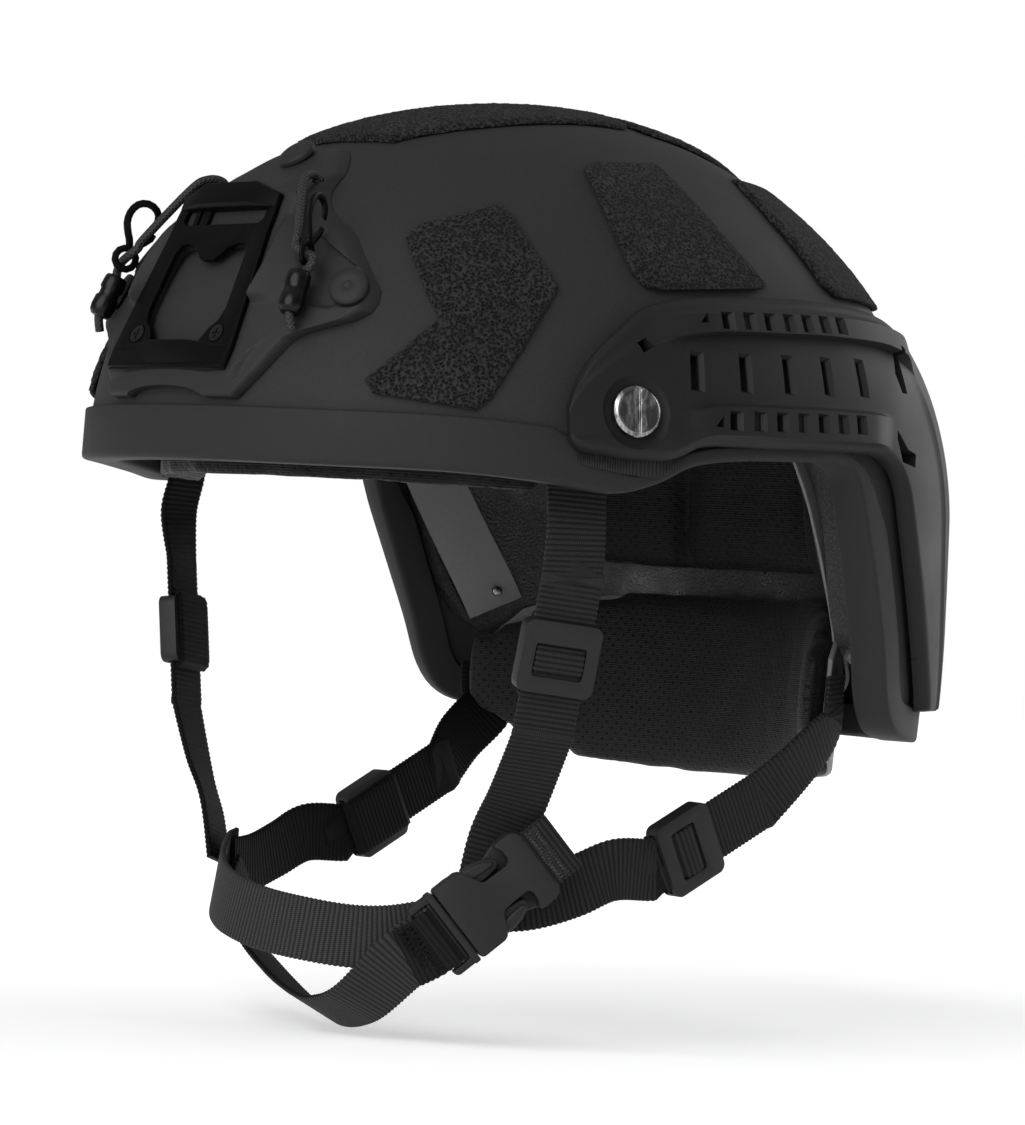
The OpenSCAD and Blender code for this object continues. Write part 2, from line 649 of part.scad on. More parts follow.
rail_high = [
    [ear_front_a - 14, cheek_z + 21], [ear_front_a - 13, cheek_z + 28], [ear_front_a - 11, 36],
    [ear_front_a - 7, 45], [ear_front_a - 3, 51], [67.5, 54.2], [73, 56], [79, 57.3], [86, 58.4],
    [93, 59.5], [100, 60], [107, 60.3], [114, 60], [120.5, 58], [124.5, 52], [126.8, 40], [128, 26],
    [nape_a + 9, 10], [nape_a + 10.5, -8], [nape_a + 12.5, -24], [nape_a + 15, 26 - nape_drop],
    [nape_a + 17, 15 - nape_drop], [nape_a + 17.5, 8 - nape_drop]
];

// Places of the upright slots and the small pockets along the rail, as angles
slot_mid_a = 86;
slot_step_a = slot_pitch / shell_half_w * 57.3;
slots = [for (i = [-2:2]) slot_mid_a + i * slot_step_a];
pockets = [for (i = [-3:3]) slot_mid_a + 0.3 + i * slot_step_a * 0.485];
// The rows of slots and pockets rise a little towards the rear
function row_z(z, a) = z + (a - slot_mid_a) * 0.12;

// Height of the rail above its web at share t across it and station i along it
function flange(t, i) =
    let (run = min(max((i - 4) / 2, 0), 1) * min(max((14 - i) / 3, 0), 1),
    h = t > 0.1 && t < 0.3 ? 1 : t > 0.74 && t < 0.93 ? 1 : 0)
    run * h * rail_flange;

// Cut through the rail's web or pocket in it, length down the wall and width along the rail
module rail_cut(a, z, l, w, floor_off) {
    on_wall(a, z, floor_off) translate([-l / 2, -w / 2, 0]) cube([l, w, 14]);
}

module rail(side) {
    shares = [0, 0.05, 0.12, 0.26, 0.31, 0.73, 0.77, 0.9, 0.96, 1];
    m = len(rail_low) - 1;
    function spot(i, t, off) =
        let (p = mix(rail_low[i], rail_high[i], t)) on_shell(p[0], p[1], off);
    function face(i, t) = t == 0 || t == 1 ? rail_under + 1.6 : t == 0.05 || t == 0.96
        ? rail_face - 0.6 : rail_face + flange(t, i);
    color([0.062, 0.062, 0.065]) seated() sided(side) difference() {
        sheet_solid([for (i = [0:m]) [for (t = shares) spot(i, t, face(i, t))]],
            [for (i = [0:m]) [for (t = shares) spot(i, t, rail_under)]]);
        for (a = slots) rail_cut(a, row_z(36, a), slot_l, slot_w, 0);
        for (i = [0:len(pockets) - 1]) {
            deep = i % 2 == 0 ? 0 : rail_face + 0.4;
            rail_cut(pockets[i], row_z(50.3, pockets[i]), 5, 3.4, deep);
            rail_cut(pockets[i] + 0.4, row_z(22.9, pockets[i]), 5, 3.4, deep);
        }
        on_wall(ear_rear_a + 12.6, 41.5, 0) rotate([0, 0, -14]) translate([-6, -1.4, 0]) cube([12, 2.8, 14]);
        on_wall(ear_rear_a + 9.6, 19.2, 0) rotate([0, 0, 14]) translate([-4, -1.5, 0]) cube([8, 3, 14]);
        on_wall(ear_front_a - 6, 38, 0) rotate([0, 0, 30]) translate([-2, -2, 0]) cube([4, 4, 14]);
        on_wall(rail_bolt_a, rail_bolt_z, 0) {
            cylinder(d = rail_shank_d + 2 * shank_gap, h = 20);
            translate([0, 0, rail_face - 1.6]) cylinder(d = rail_bolt_d + 0.8, h = 14);
        }
        on_wall(rear_bolt_a, rear_bolt_z, rail_under - 1)
            cylinder(d = rail_shank_d - 1 + 2 * shank_gap, h = 4);
        for (k = [[nape_a - 5.6, -12], [nape_a - 1.8, -27.5], [nape_a + 2.6, -42]])
            rail_cut(k[0], k[1], 3.4, 3.4, 0);
    }
}
module left_rail() { rail(1); }
module right_rail() { rail(-1); }

module rail_bolts() {
    color([0.75, 0.75, 0.77]) seated() for (s = [-1, 1]) sided(s) {
        on_wall(rail_bolt_a, rail_bolt_z, 0) difference() {
            wall_bolt(rail_bolt_d, 2.6, rail_shank_d, rail_face - 1.5, tab_t + 3 - tab_off);
            translate([-rail_bolt_d / 2, -0.8, rail_face]) cube([rail_bolt_d, 1.6, 3]);
        }
        on_wall(rear_bolt_a, rear_bolt_z, 0) {
            translate([0, 0, nut_off - 2]) cylinder(d = 11, h = 2);
            translate([0, 0, nut_off - 1])
                cylinder(d = rail_shank_d - 1, h = rail_under + 3 - nut_off);
        }
    }
}

// Strap anchor tabs behind the rail bolts, each with a bar that the front strap folds round
lip_lean = 1.3;
fold_off = trim_in - lip_lean - gap - strip_bow - web_t - 0.95;
tab_t = 1.5;
tab_off = fold_off + tab_t / 2;
tab_ahead = 8;
tab_bar_x = 12;
tab_bar_w = 3;
module strap_anchors() {
    color([0.35, 0.35, 0.37]) seated() for (s = [-1, 1]) sided(s)
        on_wall(rail_bolt_a, rail_bolt_z, tab_off - tab_t) difference() {
            union() {
                translate([-8, -8, 0]) cube([tab_bar_x + tab_bar_w + 8, 16, tab_t]);
                translate([3, -tab_ahead - 11, 0])
                    cube([tab_bar_x + tab_bar_w - 3, 19 + tab_ahead, tab_t]);
                cylinder(d = 12, h = tab_t + nut_off - tab_off);
            }
            translate([0, 0, -1]) cylinder(d = rail_shank_d + 2 * shank_gap, h = 8);
            translate([tab_bar_x - 3, -tab_ahead - 9.7, -1]) cube([3, 19.4, 4]);
        }
}

module rail_nuts() {
    color([0.4, 0.4, 0.42]) seated() for (s = [-1, 1]) sided(s)
        on_wall(rail_bolt_a, rail_bolt_z, 0)
            wall_nut(13, 2.5, rail_shank_d + 0.1, tab_off - tab_t - 0.1);
}

// Gaskets that the rails' noses stand on
module rail_gaskets() {
    low = [for (k = [0:5]) rail_low[k] + [0.6, 1.8]];
    high = [for (k = [0:5]) [rail_low[k][0] + (k == 0 ? 0.4 : 0.2), rail_low[k][1] + 5]];
    color([0.05, 0.05, 0.05]) seated() for (s = [-1, 1]) sided(s)
        sheet_solid([for (i = [0:5]) [for (t = [0, 1])
            let (p = mix(low[i], high[i], t)) on_shell(p[0], p[1], rail_under - 0.1)]],
            [for (i = [0:5]) [for (t = [0, 1])
            let (p = mix(low[i], high[i], t)) on_shell(p[0], p[1], trim_out - 1)]]);
}

// Face of a loop patch, lower along its edge
patch_face = patch_gap + patch_t;
patch_edge = patch_gap + patch_t * 0.6;

// Loop patch between two edges, given as angle and height
module side_patch(f, b) {
    shares = [0, 0.08, 0.36, 0.64, 0.92, 1];
    m = len(f) - 1;
    function spot(i, t, off) = let (p = mix(f[i], b[i], 1 - t)) on_shell(p[0], p[1], off);
    color([0.055, 0.055, 0.057]) seated()
        sheet_solid([for (i = [m:-1:0]) [for (t = shares)
            spot(i, t, t == 0 || t == 1 || i == 0 || i == m ? patch_edge : patch_face)]],
            [for (i = [m:-1:0]) [for (t = shares) spot(i, t, patch_gap)]]);
}

// Loop patch over the crown; its left edge is given as plan positions from front to back
module crown_sheet(edge) {
    shares = [-1, -0.92, -0.62, -0.31, 0, 0.31, 0.62, 0.92, 1];
    m = len(edge) - 1;
    function spot(i, t, off) = over_shell(-edge[i][0] * t, edge[i][1], off);
    color([0.055, 0.055, 0.057]) seated()
        sheet_solid([for (i = [0:m]) [for (t = shares)
            spot(i, t, abs(t) == 1 || i == 0 || i == m ? patch_edge : patch_face)]],
            [for (i = [0:m]) [for (t = shares) spot(i, t, patch_gap)]]);
}

module brow_patch(side) {
    sided(side) side_patch([[29.6, 70], [28.3, 66], [31, 57], [33.6, 48], [35.2, 43], [31.2, 33.5],
        [27.5, 24.5], [28.7, 21]], [[40, 78], [42.4, 75], [45.6, 67], [48.7, 59], [50.2, 55],
        [46.2, 37], [42.5, 21.5], [40.9, 18.2]]);
}
module left_brow_patch() { brow_patch(1); }
module right_brow_patch() { brow_patch(-1); }

module flank_patch(side) {
    sided(side) side_patch([[56.5, 94.5], [54.6, 92], [57.3, 80], [59.6, 69], [61.2, 61.5], [63.4, 57.5],
        [65.5, 56.8]], [[73.5, 97], [75.5, 95], [80, 84], [84.2, 74], [87.7, 66.5], [89.2, 62.8],
        [87.6, 61.5]]);
}
module left_side_patch() { flank_patch(1); }
module right_side_patch() { flank_patch(-1); }

module crown_patch() {
    crown_sheet([[9, -84], [22, -82], [29.2, -70], [34.6, -58], [37.8, -45], [39, -32], [39, -19],
        [39, -8], [36, -4]]);
}
module rear_crown_patch() {
    crown_sheet([[36, 3], [39, 7], [38.5, 20], [37, 34], [34, 47], [31, 58], [27, 62]]);
}

module nape_side_patch(side) {
    sided(side) side_patch([[107, 97], [104.5, 93.5], [103.6, 85], [105, 76], [106.8, 66], [109.5, 63]],
        [[130, 97], [134, 94], [138, 85], [141, 76], [143.5, 67], [141, 64]]);
}
module left_rear_patch() { nape_side_patch(1); }
module right_rear_patch() { nape_side_patch(-1); }

// Point in the frame that on_wall gives: x down the wall, y along it, h outward
function wall_spot(a, z, x, y, h) =
    let (v = wall_normal(a, z), k = norm([v[0], v[1]]), c = v[0] / k, n = v[1] / k)
    on_shell(a, z, 0) + v * h + [v[2] * c, v[2] * n, -k] * x + [-n, c, 0] * y;

// Children stand at point c with +X along x, +Y along y and +Z along their normal
module placed(c, x, y) {
    z = cross(x, y);
    multmatrix([[x[0], y[0], z[0], c[0]], [x[1], y[1], z[1], c[1]], [x[2], y[2], z[2], c[2]],
        [0, 0, 0, 1]]) children();
}

// Plate with round corners, standing on its face
module round_plate(w, l, t, r) {
    translate([-w / 2 + r, -l / 2, 0]) cube([w - 2 * r, l, t]);
    translate([-w / 2, -l / 2 + r, 0]) cube([w, l - 2 * r, t]);
    for (x = [-w / 2 + r, w / 2 - r]) for (y = [-l / 2 + r, l / 2 - r])
        translate([x, y, 0]) cylinder(r = r, h = t);
}

// Strips that carry the nape cradle, as angle and height down their middle
arm_keys = [[107.4, 22], [109.6, 15.5], [112.4, 7.8], [118.6, -9], [124.9, -26.3], [127, -33]];
arm_foot_a = 125.4;
arm_foot_z = -28;
module fit_arm(side) {
    color([0.16, 0.16, 0.165]) seated() sided(side) difference() {
        band([for (k = arm_keys) on_shell(k[0], k[1], arm_off)],
            [for (k = arm_keys) wall_normal(k[0], k[1])], 18.5, arm_t, 2);
        on_wall(arm_screw_a, arm_screw_z, liner_in - 6)
            cylinder(d = arm_screw_d + 2 * shank_gap, h = 12);
        on_wall(arm_foot_a, arm_foot_z, liner_in - 6)
            cylinder(d = arm_screw_d + 2 * shank_gap, h = 12);
    }
}
module left_fit_arm() { fit_arm(1); }
module right_fit_arm() { fit_arm(-1); }

// Screws through the arms' tops into the liner and through their feet into the cradle
module fit_arm_screws() {
    color([0.5, 0.5, 0.52]) seated() for (s = [-1, 1]) sided(s) {
        on_wall(arm_screw_a, arm_screw_z, arm_off - arm_t / 2 - gap - 1.2) {
            cylinder(d = 7, h = 1.2);
            translate([0, 0, 1]) cylinder(d = arm_screw_d, h = liner_t + 1.6);
        }
        on_wall(arm_foot_a, arm_foot_z, cradle_in + 0.1) {
            cylinder(d = arm_screw_d, h = arm_off + arm_t / 2 - cradle_in + 0.1);
            translate([0, 0, arm_off + arm_t / 2 - cradle_in]) cylinder(d = 6, h = 0.5);
        }
    }
}

// Sheet of even thickness against the wall, its corners drawn in
module wall_plate(a0, a1, z0, z1, out, t, corner, m, n) {
    function spot(u, v, off) =
        on_shell(mix(a0, a1, 0.5 + 0.5 * u * drawn(v, corner / 2)),
        mix(z0, z1, 0.5 + 0.5 * v * drawn(u, corner)), off);
    us = [for (i = [0:m]) sin(90 * (2 * i / m - 1))];
    vs = [for (j = [0:n]) 2 * j / n - 1];
    sheet_solid([for (u = us) [for (v = vs) spot(u, v, out)]],
        [for (u = us) [for (v = vs) spot(u, v, out - t)]]);
}

nape_pad_low = -nape_pad_top - nape_pad_h;
dial_z = -nape_drop - 2;
spindle_d = 6;
module nape_cradle() {
    color([0.14, 0.14, 0.145]) seated() difference() {
        wall_plate(180 - nape_pad_a + 6, 180 + nape_pad_a - 6, nape_pad_low + 4, -nape_pad_top - 2,
            cradle_out, cradle_t, 0.3, 22, 4);
        for (s = [-1, 1]) sided(s) on_wall(arm_foot_a, arm_foot_z, cradle_in - 4)
            cylinder(d = arm_screw_d + 2 * shank_gap, h = 8);
    }
}

// Padded nape piece with drawn-in corners
module nape_pad() {
    color([0.1, 0.1, 0.1]) seated()
        wall_cushion(180 - nape_pad_a, 180 + nape_pad_a, nape_pad_low, -nape_pad_top,
            cradle_in - 2 * gap, nape_pad_t, [], 0.45, 22, 8);
}

// Housing of the fit dial, with its spindle and a groove for the lace
lace_d = 1.4;
lace_off = (cradle_out + liner_in) / 2;
housing_t = 4.5;
housing_off = cradle_out + 2 * gap;
lace_up = 7;
module dial_housing() {
    color([0.12, 0.12, 0.125]) seated() on_wall(180, dial_z, housing_off) difference() {
        union() {
            cylinder(d = dial_d + 4, h = housing_t);
            translate([-lace_up - 4, -17, 0]) cube([10, 34, housing_t - 0.8]);
            cylinder(d = spindle_d, h = housing_t + gap + dial_t - 1);
            translate([0, 0, housing_t + gap + dial_t - 1.2]) cylinder(d = spindle_d + 4, h = 0.9);
        }
        translate([-lace_up - 1.2, -18, -1])
            cube([2.4, 36, 1.5 + lace_off + lace_d / 2 - housing_off]);
    }
}

module fit_dial() {
    color([0.05, 0.05, 0.052]) seated() on_wall(180, dial_z, housing_off + housing_t + gap)
        difference() {
            cylinder(d = dial_d, h = dial_t);
            translate([0, 0, -1]) cylinder(d = spindle_d + 0.6, h = dial_t + 2);
            translate([0, 0, dial_t - 1.8]) cylinder(d = spindle_d + 5, h = 3);
            for (i = [0:17]) rotate([0, 0, 20 * i]) translate([dial_d / 2 + 0.4, 0, 1.5])
                cylinder(d = 2.4, h = dial_t);
        }
}

// Lace from one arm's foot to the other, through the dial's housing
module fit_lace() {
    mid = wall_spot(180, dial_z, -lace_up, 0, lace_off)[2];
    half = [[128.4, -38.5], [133, -43], [142, -48.5], [152, -53], [163, -56.5], [172, mid + 0.3],
        [180, mid]];
    keys = concat(half, [for (i = [1:6]) [360 - half[6 - i][0], half[6 - i][1]]]);
    color([0.3, 0.3, 0.31]) seated()
        cord([for (k = keys) on_shell(k[0], k[1], lace_off)], lace_d, 3, 6);
}

// Frame of the buckle: middle, axis from the male to the female half, outward way, width's way
buckle_at = [64, -63.3, -jaw_drop - 4.2];
buckle_axis = unit([0.391, 0.638, 0.665]);
buckle_out = unit(cross(cross(buckle_axis, [0.85, -0.52, 0]), buckle_axis));
buckle_side = cross(buckle_axis, buckle_out);
function at_buckle(y, h, x = 0) =
    buckle_at + buckle_axis * y + buckle_out * h + buckle_side * x;

// Straight run of the front strap through its slider: middle and way down
front_slider_at = [85, -61.5, -47.6];
front_run = unit([-3.6, 0, -20]);
front_out = unit([0.9, -0.43, -0.16]);
rear_slider_at = [70.9, 6.9, -100.3];
rear_run = unit([-1.2, -24, -13]);
rear_out = unit([0.995, -0.05, -0.02]);
straight = slider_travel + slider_l / 2 + 0.5;
rear_below = slider_l / 2 + 1;

// Front strap: folded round the anchor's bar, down through its slider to the junction
module front_strap(side, tuck) {
    function spot(x, h) = wall_spot(rail_bolt_a, rail_bolt_z, x, -tab_ahead, h);
    n = wall_normal(rail_bolt_a, rail_bolt_z);
    up = [0, 0, 1];
    x0 = tab_bar_x + 0.3;
    b = front_slider_at - front_run * straight;
    d = front_slider_at + front_run * straight;
    path = [
        spot(19.5, fold_off + 0.5), spot(x0 + 3.6, fold_off + 1.65), spot(x0, fold_off + 1.7),
        spot(x0 - 1.2, fold_off + 1.2),
        spot(x0 - 1.7, fold_off), spot(x0 - 1.2, fold_off - 1.2), spot(x0, fold_off - 1.7),
        spot(20, fold_off - 1.7), spot(30, fold_off - 1.4), b - front_run * 2, b, front_slider_at,
        d, d + front_run * 2, [73 - 5.5 * tuck, -61 + 4.2 * tuck, 25 - jaw_drop],
        [66 - 6 * tuck, -60.5 + 4.4 * tuck, 12.5 - jaw_drop],
        [60.8 - tuck, -60.6 + 1.3 * tuck, -jaw_drop - 3]
    ];
    low = -unit([0.85, -0.52, 0]);
    outs = [n, n, n, unit(n + up), up, unit(up - n), -n, -n, -n, -front_out, -front_out, -front_out,
        -front_out, -front_out, -unit([0.88, -0.47, 0]), low, low];
    color([0.09, 0.09, 0.092]) seated() sided(side) band(path, outs, web_w, web_t, 2);
}
module left_front_strap() { front_strap(1, 1); }
module right_front_strap() { front_strap(-1, 0); }

// Rear strap: from the cradle's foot through its slider to the junction
rear_strap_off = cradle_out + 2 * gap + web_t / 2;
module rear_strap(side, foot_z) {
    top_a = 126.5;
    foot = on_shell(top_a, foot_z, rear_strap_off);
    b = rear_slider_at - rear_run * (straight + slider_travel);
    d = rear_slider_at + rear_run * rear_below;
    path = [
        on_shell(top_a - 0.3, foot_z + 15, rear_strap_off), on_shell(top_a, foot_z + 7, rear_strap_off),
        foot, mix(foot, b, 0.5) + [1.5, 0, 0], b - rear_run * 2, b, rear_slider_at, d, d + rear_run * 2,
        [69.9, -20, 6 - jaw_drop], [67.5, -33, 0.8 - jaw_drop], [63.4, -45.6, -jaw_drop - 3.2],
        [58.4, -57.2, -jaw_drop - 4.5]
    ];
    top = wall_normal(top_a, -50);
    outs = [top, top, top, unit(top + rear_out), rear_out, rear_out, rear_out, rear_out, rear_out,
        [1, 0, 0], unit([0.98, -0.2, 0]), unit([0.92, -0.38, 0]), unit([0.85, -0.52, 0])];
    color([0.09, 0.09, 0.092]) seated() sided(side) band(path, outs, web_w, web_t, 2);
}
module left_rear_strap() { rear_strap(1, -62); }
module right_rear_strap() { rear_strap(-1, -65); }

// Upper chin band from the right junction to the back of the buckle's male half
module upper_chin_strap() {
    d = -jaw_drop;
    path = [
        [-63.5, -52.5, d - 1.5], [-60.5, -58, d - 2.8], [-50, -68, d - 4.9], [-38, -78.5, d - 7.4],
        [-25, -87.5, d - 9.8], [-11, -94, d - 12], [4, -95.4, d - 14.5], [20, -93, d - 16],
        [32.6, -86, d - 17], [41.9, -78.9, d - 16.3], [48.9, -70.5, d - 14]
    ];
    outs = [for (k = path) unit([k[0] / 75, (k[1] + 25) / 70, 0.1])];
    color([0.09, 0.09, 0.092]) seated() band(path, outs, web_w, web_t, 2);
}

// Lower chin band under the chin, folded round the bar of the buckle's male half
male_bar_y = -buckle_l / 2 + 1;
module lower_chin_strap() {
    y0 = male_bar_y;
    path = [
        [-57.9, -52.6, -jaw_drop - 6], [-53.4, -57.6, -jaw_drop - 13.5], [-44, -62.5, -jaw_drop - 21],
        [-30, -66, -jaw_drop - 28.5], [-15, -69, -jaw_drop - 34.5], [-2, -72.5, -jaw_drop - 38],
        [11, -76.5, -jaw_drop - 40], [24, -80.5, -jaw_drop - 39], [36.5, -82.5, -jaw_drop - 34.5],
        at_buckle(y0 - 9, -3.3, -1), at_buckle(y0 + 1, -2.55), at_buckle(y0 + 3.1, -2.0),
        at_buckle(y0 + 3.8, 0), at_buckle(y0 + 3.1, 2.0), at_buckle(y0 + 1, 2.55),
        at_buckle(y0 - 3, 1.4), at_buckle(y0 - 9, -1.3, -1)
    ];
    a = buckle_axis;
    n = buckle_out;
    outs = [
        unit([0.85, 0.5, 0]), unit([0.8, 0.55, 0.25]), unit([0.6, 0.5, 0.6]), unit([0.4, 0.4, 0.82]),
        unit([0.2, 0.4, 0.9]), unit([0, 0.45, 0.9]), unit([-0.15, 0.5, 0.85]), unit([-0.35, 0.5, 0.8]),
        unit([-0.6, 0.5, 0.62]), -n, -n, unit(a - n), a, unit(a + n), n, n, n
    ];
    color([0.09, 0.09, 0.092]) seated() band(path, outs, web_w, web_t, 2);
}

// Short stitched loop of webbing round the bar of the buckle's female half
female_bar_y = buckle_l / 2 - 3;
module buckle_loop() {
    y0 = female_bar_y;
    n = buckle_out;
    a = buckle_axis;
    path = [at_buckle(y0 + 12, 1.6), at_buckle(y0 + 4, 2.3), at_buckle(y0 + 0.9, 2.5),
        at_buckle(y0 - 0.7, 2), at_buckle(y0 - 1.3, 0), at_buckle(y0 - 0.7, -2),
        at_buckle(y0 + 0.9, -2.5), at_buckle(y0 + 4, -2.3), at_buckle(y0 + 11, -0.6)];
    outs = [n, n, n, unit(n - a), -a, unit(-a - n), -n, -n, -n];
    color([0.09, 0.09, 0.092]) seated() band(path, outs, web_w, web_t, 2);
}

// Slider with a tunnel for the strap and a window in its outer face
module slider(at, run, out, side) {
    t = web_t + 3.4;
    color([0.045, 0.045, 0.047]) seated() sided(side)
        placed(at, unit(cross(-run, out)), -run) difference() {
            translate([0, 0, -t / 2]) round_plate(slider_w, slider_l, t, 2);
            translate([-web_w / 2 - 0.5, -slider_l, -web_t / 2 - 0.45])
                cube([web_w + 1, 2 * slider_l, web_t + 0.9]);
            translate([-web_w / 2 + 1, -slider_l * 0.34, 0]) cube([web_w - 2, slider_l * 0.5, t]);
        }
}
module left_front_slider() { slider(front_slider_at, front_run, front_out, 1); }
module right_front_slider() { slider(front_slider_at, front_run, front_out, -1); }
module left_rear_slider() { slider(rear_slider_at, rear_run, rear_out, 1); }
module right_rear_slider() { slider(rear_slider_at, rear_run, rear_out, -1); }

// Children stand in the buckle's frame: +X along its width, +Y to the female half, +Z outward
module at_clasp() {
    seated() placed(buckle_at, buckle_side, buckle_axis) children();
}

cavity_half_w = buckle_w / 2 - 2;
cavity_t = 4;
slot_half_w = web_w / 2 + 0.7;
window_y = -2;
window_l = 12;
module buckle_female() {
    y1 = buckle_l / 2;
    color([0.05, 0.05, 0.052]) at_clasp() difference() {
        translate([0, (y1 - 8) / 2, -buckle_t / 2]) round_plate(buckle_w, y1 + 8, buckle_t, 1.6);
        translate([-cavity_half_w, -10, -cavity_t / 2]) cube([2 * cavity_half_w, 20.4, cavity_t]);
        for (s = [0, 1]) mirror([s, 0, 0])
            translate([6.5, window_y, -cavity_t / 2 - 0.2]) cube([8, window_l, buckle_t]);
        translate([-slot_half_w, female_bar_y - 2.8, -5]) cube([2 * slot_half_w, 2.8, 10]);
        for (s = [0, 1]) mirror([0, 0, s])
            translate([-slot_half_w, female_bar_y - 0.5, 1.4]) cube([2 * slot_half_w, 6, 5]);
    }
}

collar_y = -8.2;
prong_root_y = collar_y + 0.3;
module buckle_male() {
    y0 = -buckle_l / 2;
    color([0.05, 0.05, 0.052]) at_clasp() difference() {
        union() {
            translate([0, (y0 + collar_y) / 2, -2]) round_plate(buckle_w, collar_y - y0, 4, 1.2);
            translate([-buckle_w / 2, collar_y - 1.3, -buckle_t / 2]) cube([buckle_w, 1.3, buckle_t]);
            translate([-2.6, collar_y - 0.5, -1.4]) cube([5.2, 15, 2.8]);
        }
        translate([-slot_half_w, male_bar_y + 2.5, -5]) cube([2 * slot_half_w, 3.2, 10]);
        for (s = [0, 1]) mirror([0, 0, s])
            translate([-slot_half_w, y0 - 1, 1.3]) cube([2 * slot_half_w, 5, 5]);
    }
}

// Springy arm of the male half with its catch in the female half's window
module prong(side) {
    w = buckle_w / 2 - 0.4;
    color([0.05, 0.05, 0.052]) at_clasp() mirror([side > 0 ? 0 : 1, 0, 0])
        translate([0, 0, -cavity_t / 2 + 0.4]) linear_extrude(cavity_t - 0.8)
        polygon([[4, prong_root_y], [6.4, prong_root_y], [7.8, window_y + 0.4], [w, window_y + 0.4],
            [w, 3.5], [8.6, 9.2], [6.8, 9.2], [6.2, 0]]);
}
module upper_prong() { prong(-1); }
module lower_prong() { prong(1); }

// Lanyards: ferrule on the shroud's wing, cord through the clip's eye, clip on the cord
ferrule_a = 18;
ferrule_z = 44.6;
ferrule_l = 11;
ferrule_h = wing_face + gap + ferrule_d / 2;
eye_x = -12.3;
eye_h = ferrule_h + 0.2;
eye_d = 8;
clip_t = 2;
module bungee(side) {
    function spot(x, y, h) = wall_spot(ferrule_a, ferrule_z, x, y, h);
    path = [
        wall_spot(cord_hole_a, cord_hole_z, 0, 0, 1.6), wall_spot(cord_hole_a, cord_hole_z, 0, 0, 5),
        wall_spot(cord_hole_a, cord_hole_z, 3, 0.6, 7.9), wall_spot(cord_hole_a, cord_hole_z, 8.5, 2, 8.6),
        spot(-19.5, -4.9, 6.6), spot(-16, -4.4, 7), spot(-13.9, -3, 7.8), spot(eye_x, 0, eye_h),
        spot(-11.2, 2.5, eye_h), spot(-8.8, 2.9, eye_h), spot(-6.9, 1.7, ferrule_h),
        spot(-5.4, 0, ferrule_h), spot(0, 0, ferrule_h), spot(5.4, 0, ferrule_h),
        spot(7.4, 0.2, ferrule_h - 0.7), spot(10, 0.8, wing_face + bungee_d / 2 + 0.5)
    ];
    color([0.2, 0.2, 0.205]) seated() sided(side) cord(path, bungee_d, 3, 8);
}
module left_bungee() { bungee(1); }
module right_bungee() { bungee(-1); }

module ferrule(side) {
    color([0.09, 0.09, 0.095]) seated() sided(side)
        on_wall(ferrule_a, ferrule_z, ferrule_h) rotate([0, 90, 0]) difference() {
            cylinder(d = ferrule_d, h = ferrule_l, center = true);
            cylinder(d = bungee_d + 0.3, h = ferrule_l + 2, center = true);
        }
}
module left_ferrule() { ferrule(1); }
module right_ferrule() { ferrule(-1); }

// Flat clip standing off the wall: an eye on the cord and an open hook above it
clip_lean = 8;
hook_x = 12.5;
module clip(side) {
    color([0.03, 0.03, 0.032]) seated() sided(side)
        on_wall(ferrule_a, ferrule_z, eye_h) translate([eye_x, clip_t / 2, 0])
        rotate([0, clip_lean, 0]) rotate([90, 0, 0]) difference() {
            union() {
                cylinder(d = eye_d, h = clip_t);
                translate([-8, -1.5, 0]) cube([5, 3, clip_t]);
                translate([-hook_x, 0, 0]) cylinder(d = 11.4, h = clip_t);
            }
            translate([0, 0, -1]) cylinder(d = 4.6, h = clip_t + 2);
            translate([-hook_x, 0, -1]) cylinder(d = 7.4, h = clip_t + 2);
            translate([1 - hook_x, -7, -1]) cube([3, 5, clip_t + 2]);
        }
}
module left_clip() { clip(1); }
module right_clip() { clip(-1); }

shell();
rim_trim();
impact_liner();
brow_pad();
crown_pad();
left_side_pad();
right_side_pad();
rear_pad();
shroud_base();
shroud_insert();
insert_screws();
shroud_bolts();
shroud_nuts();
left_rail();
right_rail();
rail_bolts();
strap_anchors();
rail_nuts();
rail_gaskets();
left_brow_patch();
right_brow_patch();
left_side_patch();
right_side_patch();
crown_patch();
rear_crown_patch();
left_rear_patch();
right_rear_patch();
left_fit_arm();
right_fit_arm();
fit_arm_screws();
nape_cradle();
nape_pad();
dial_housing();
fit_dial();
fit_lace();
left_front_strap();
right_front_strap();
left_rear_strap();
right_rear_strap();
upper_chin_strap();
lower_chin_strap();
buckle_loop();
left_front_slider();
right_front_slider();
left_rear_slider();
right_rear_slider();
buckle_female();
buckle_male();
upper_prong();
lower_prong();
left_bungee();
right_bungee();
left_ferrule();
right_ferrule();
left_clip();
right_clip();
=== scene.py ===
import json
import math
import bpy
from mathutils import Matrix, Vector, noise


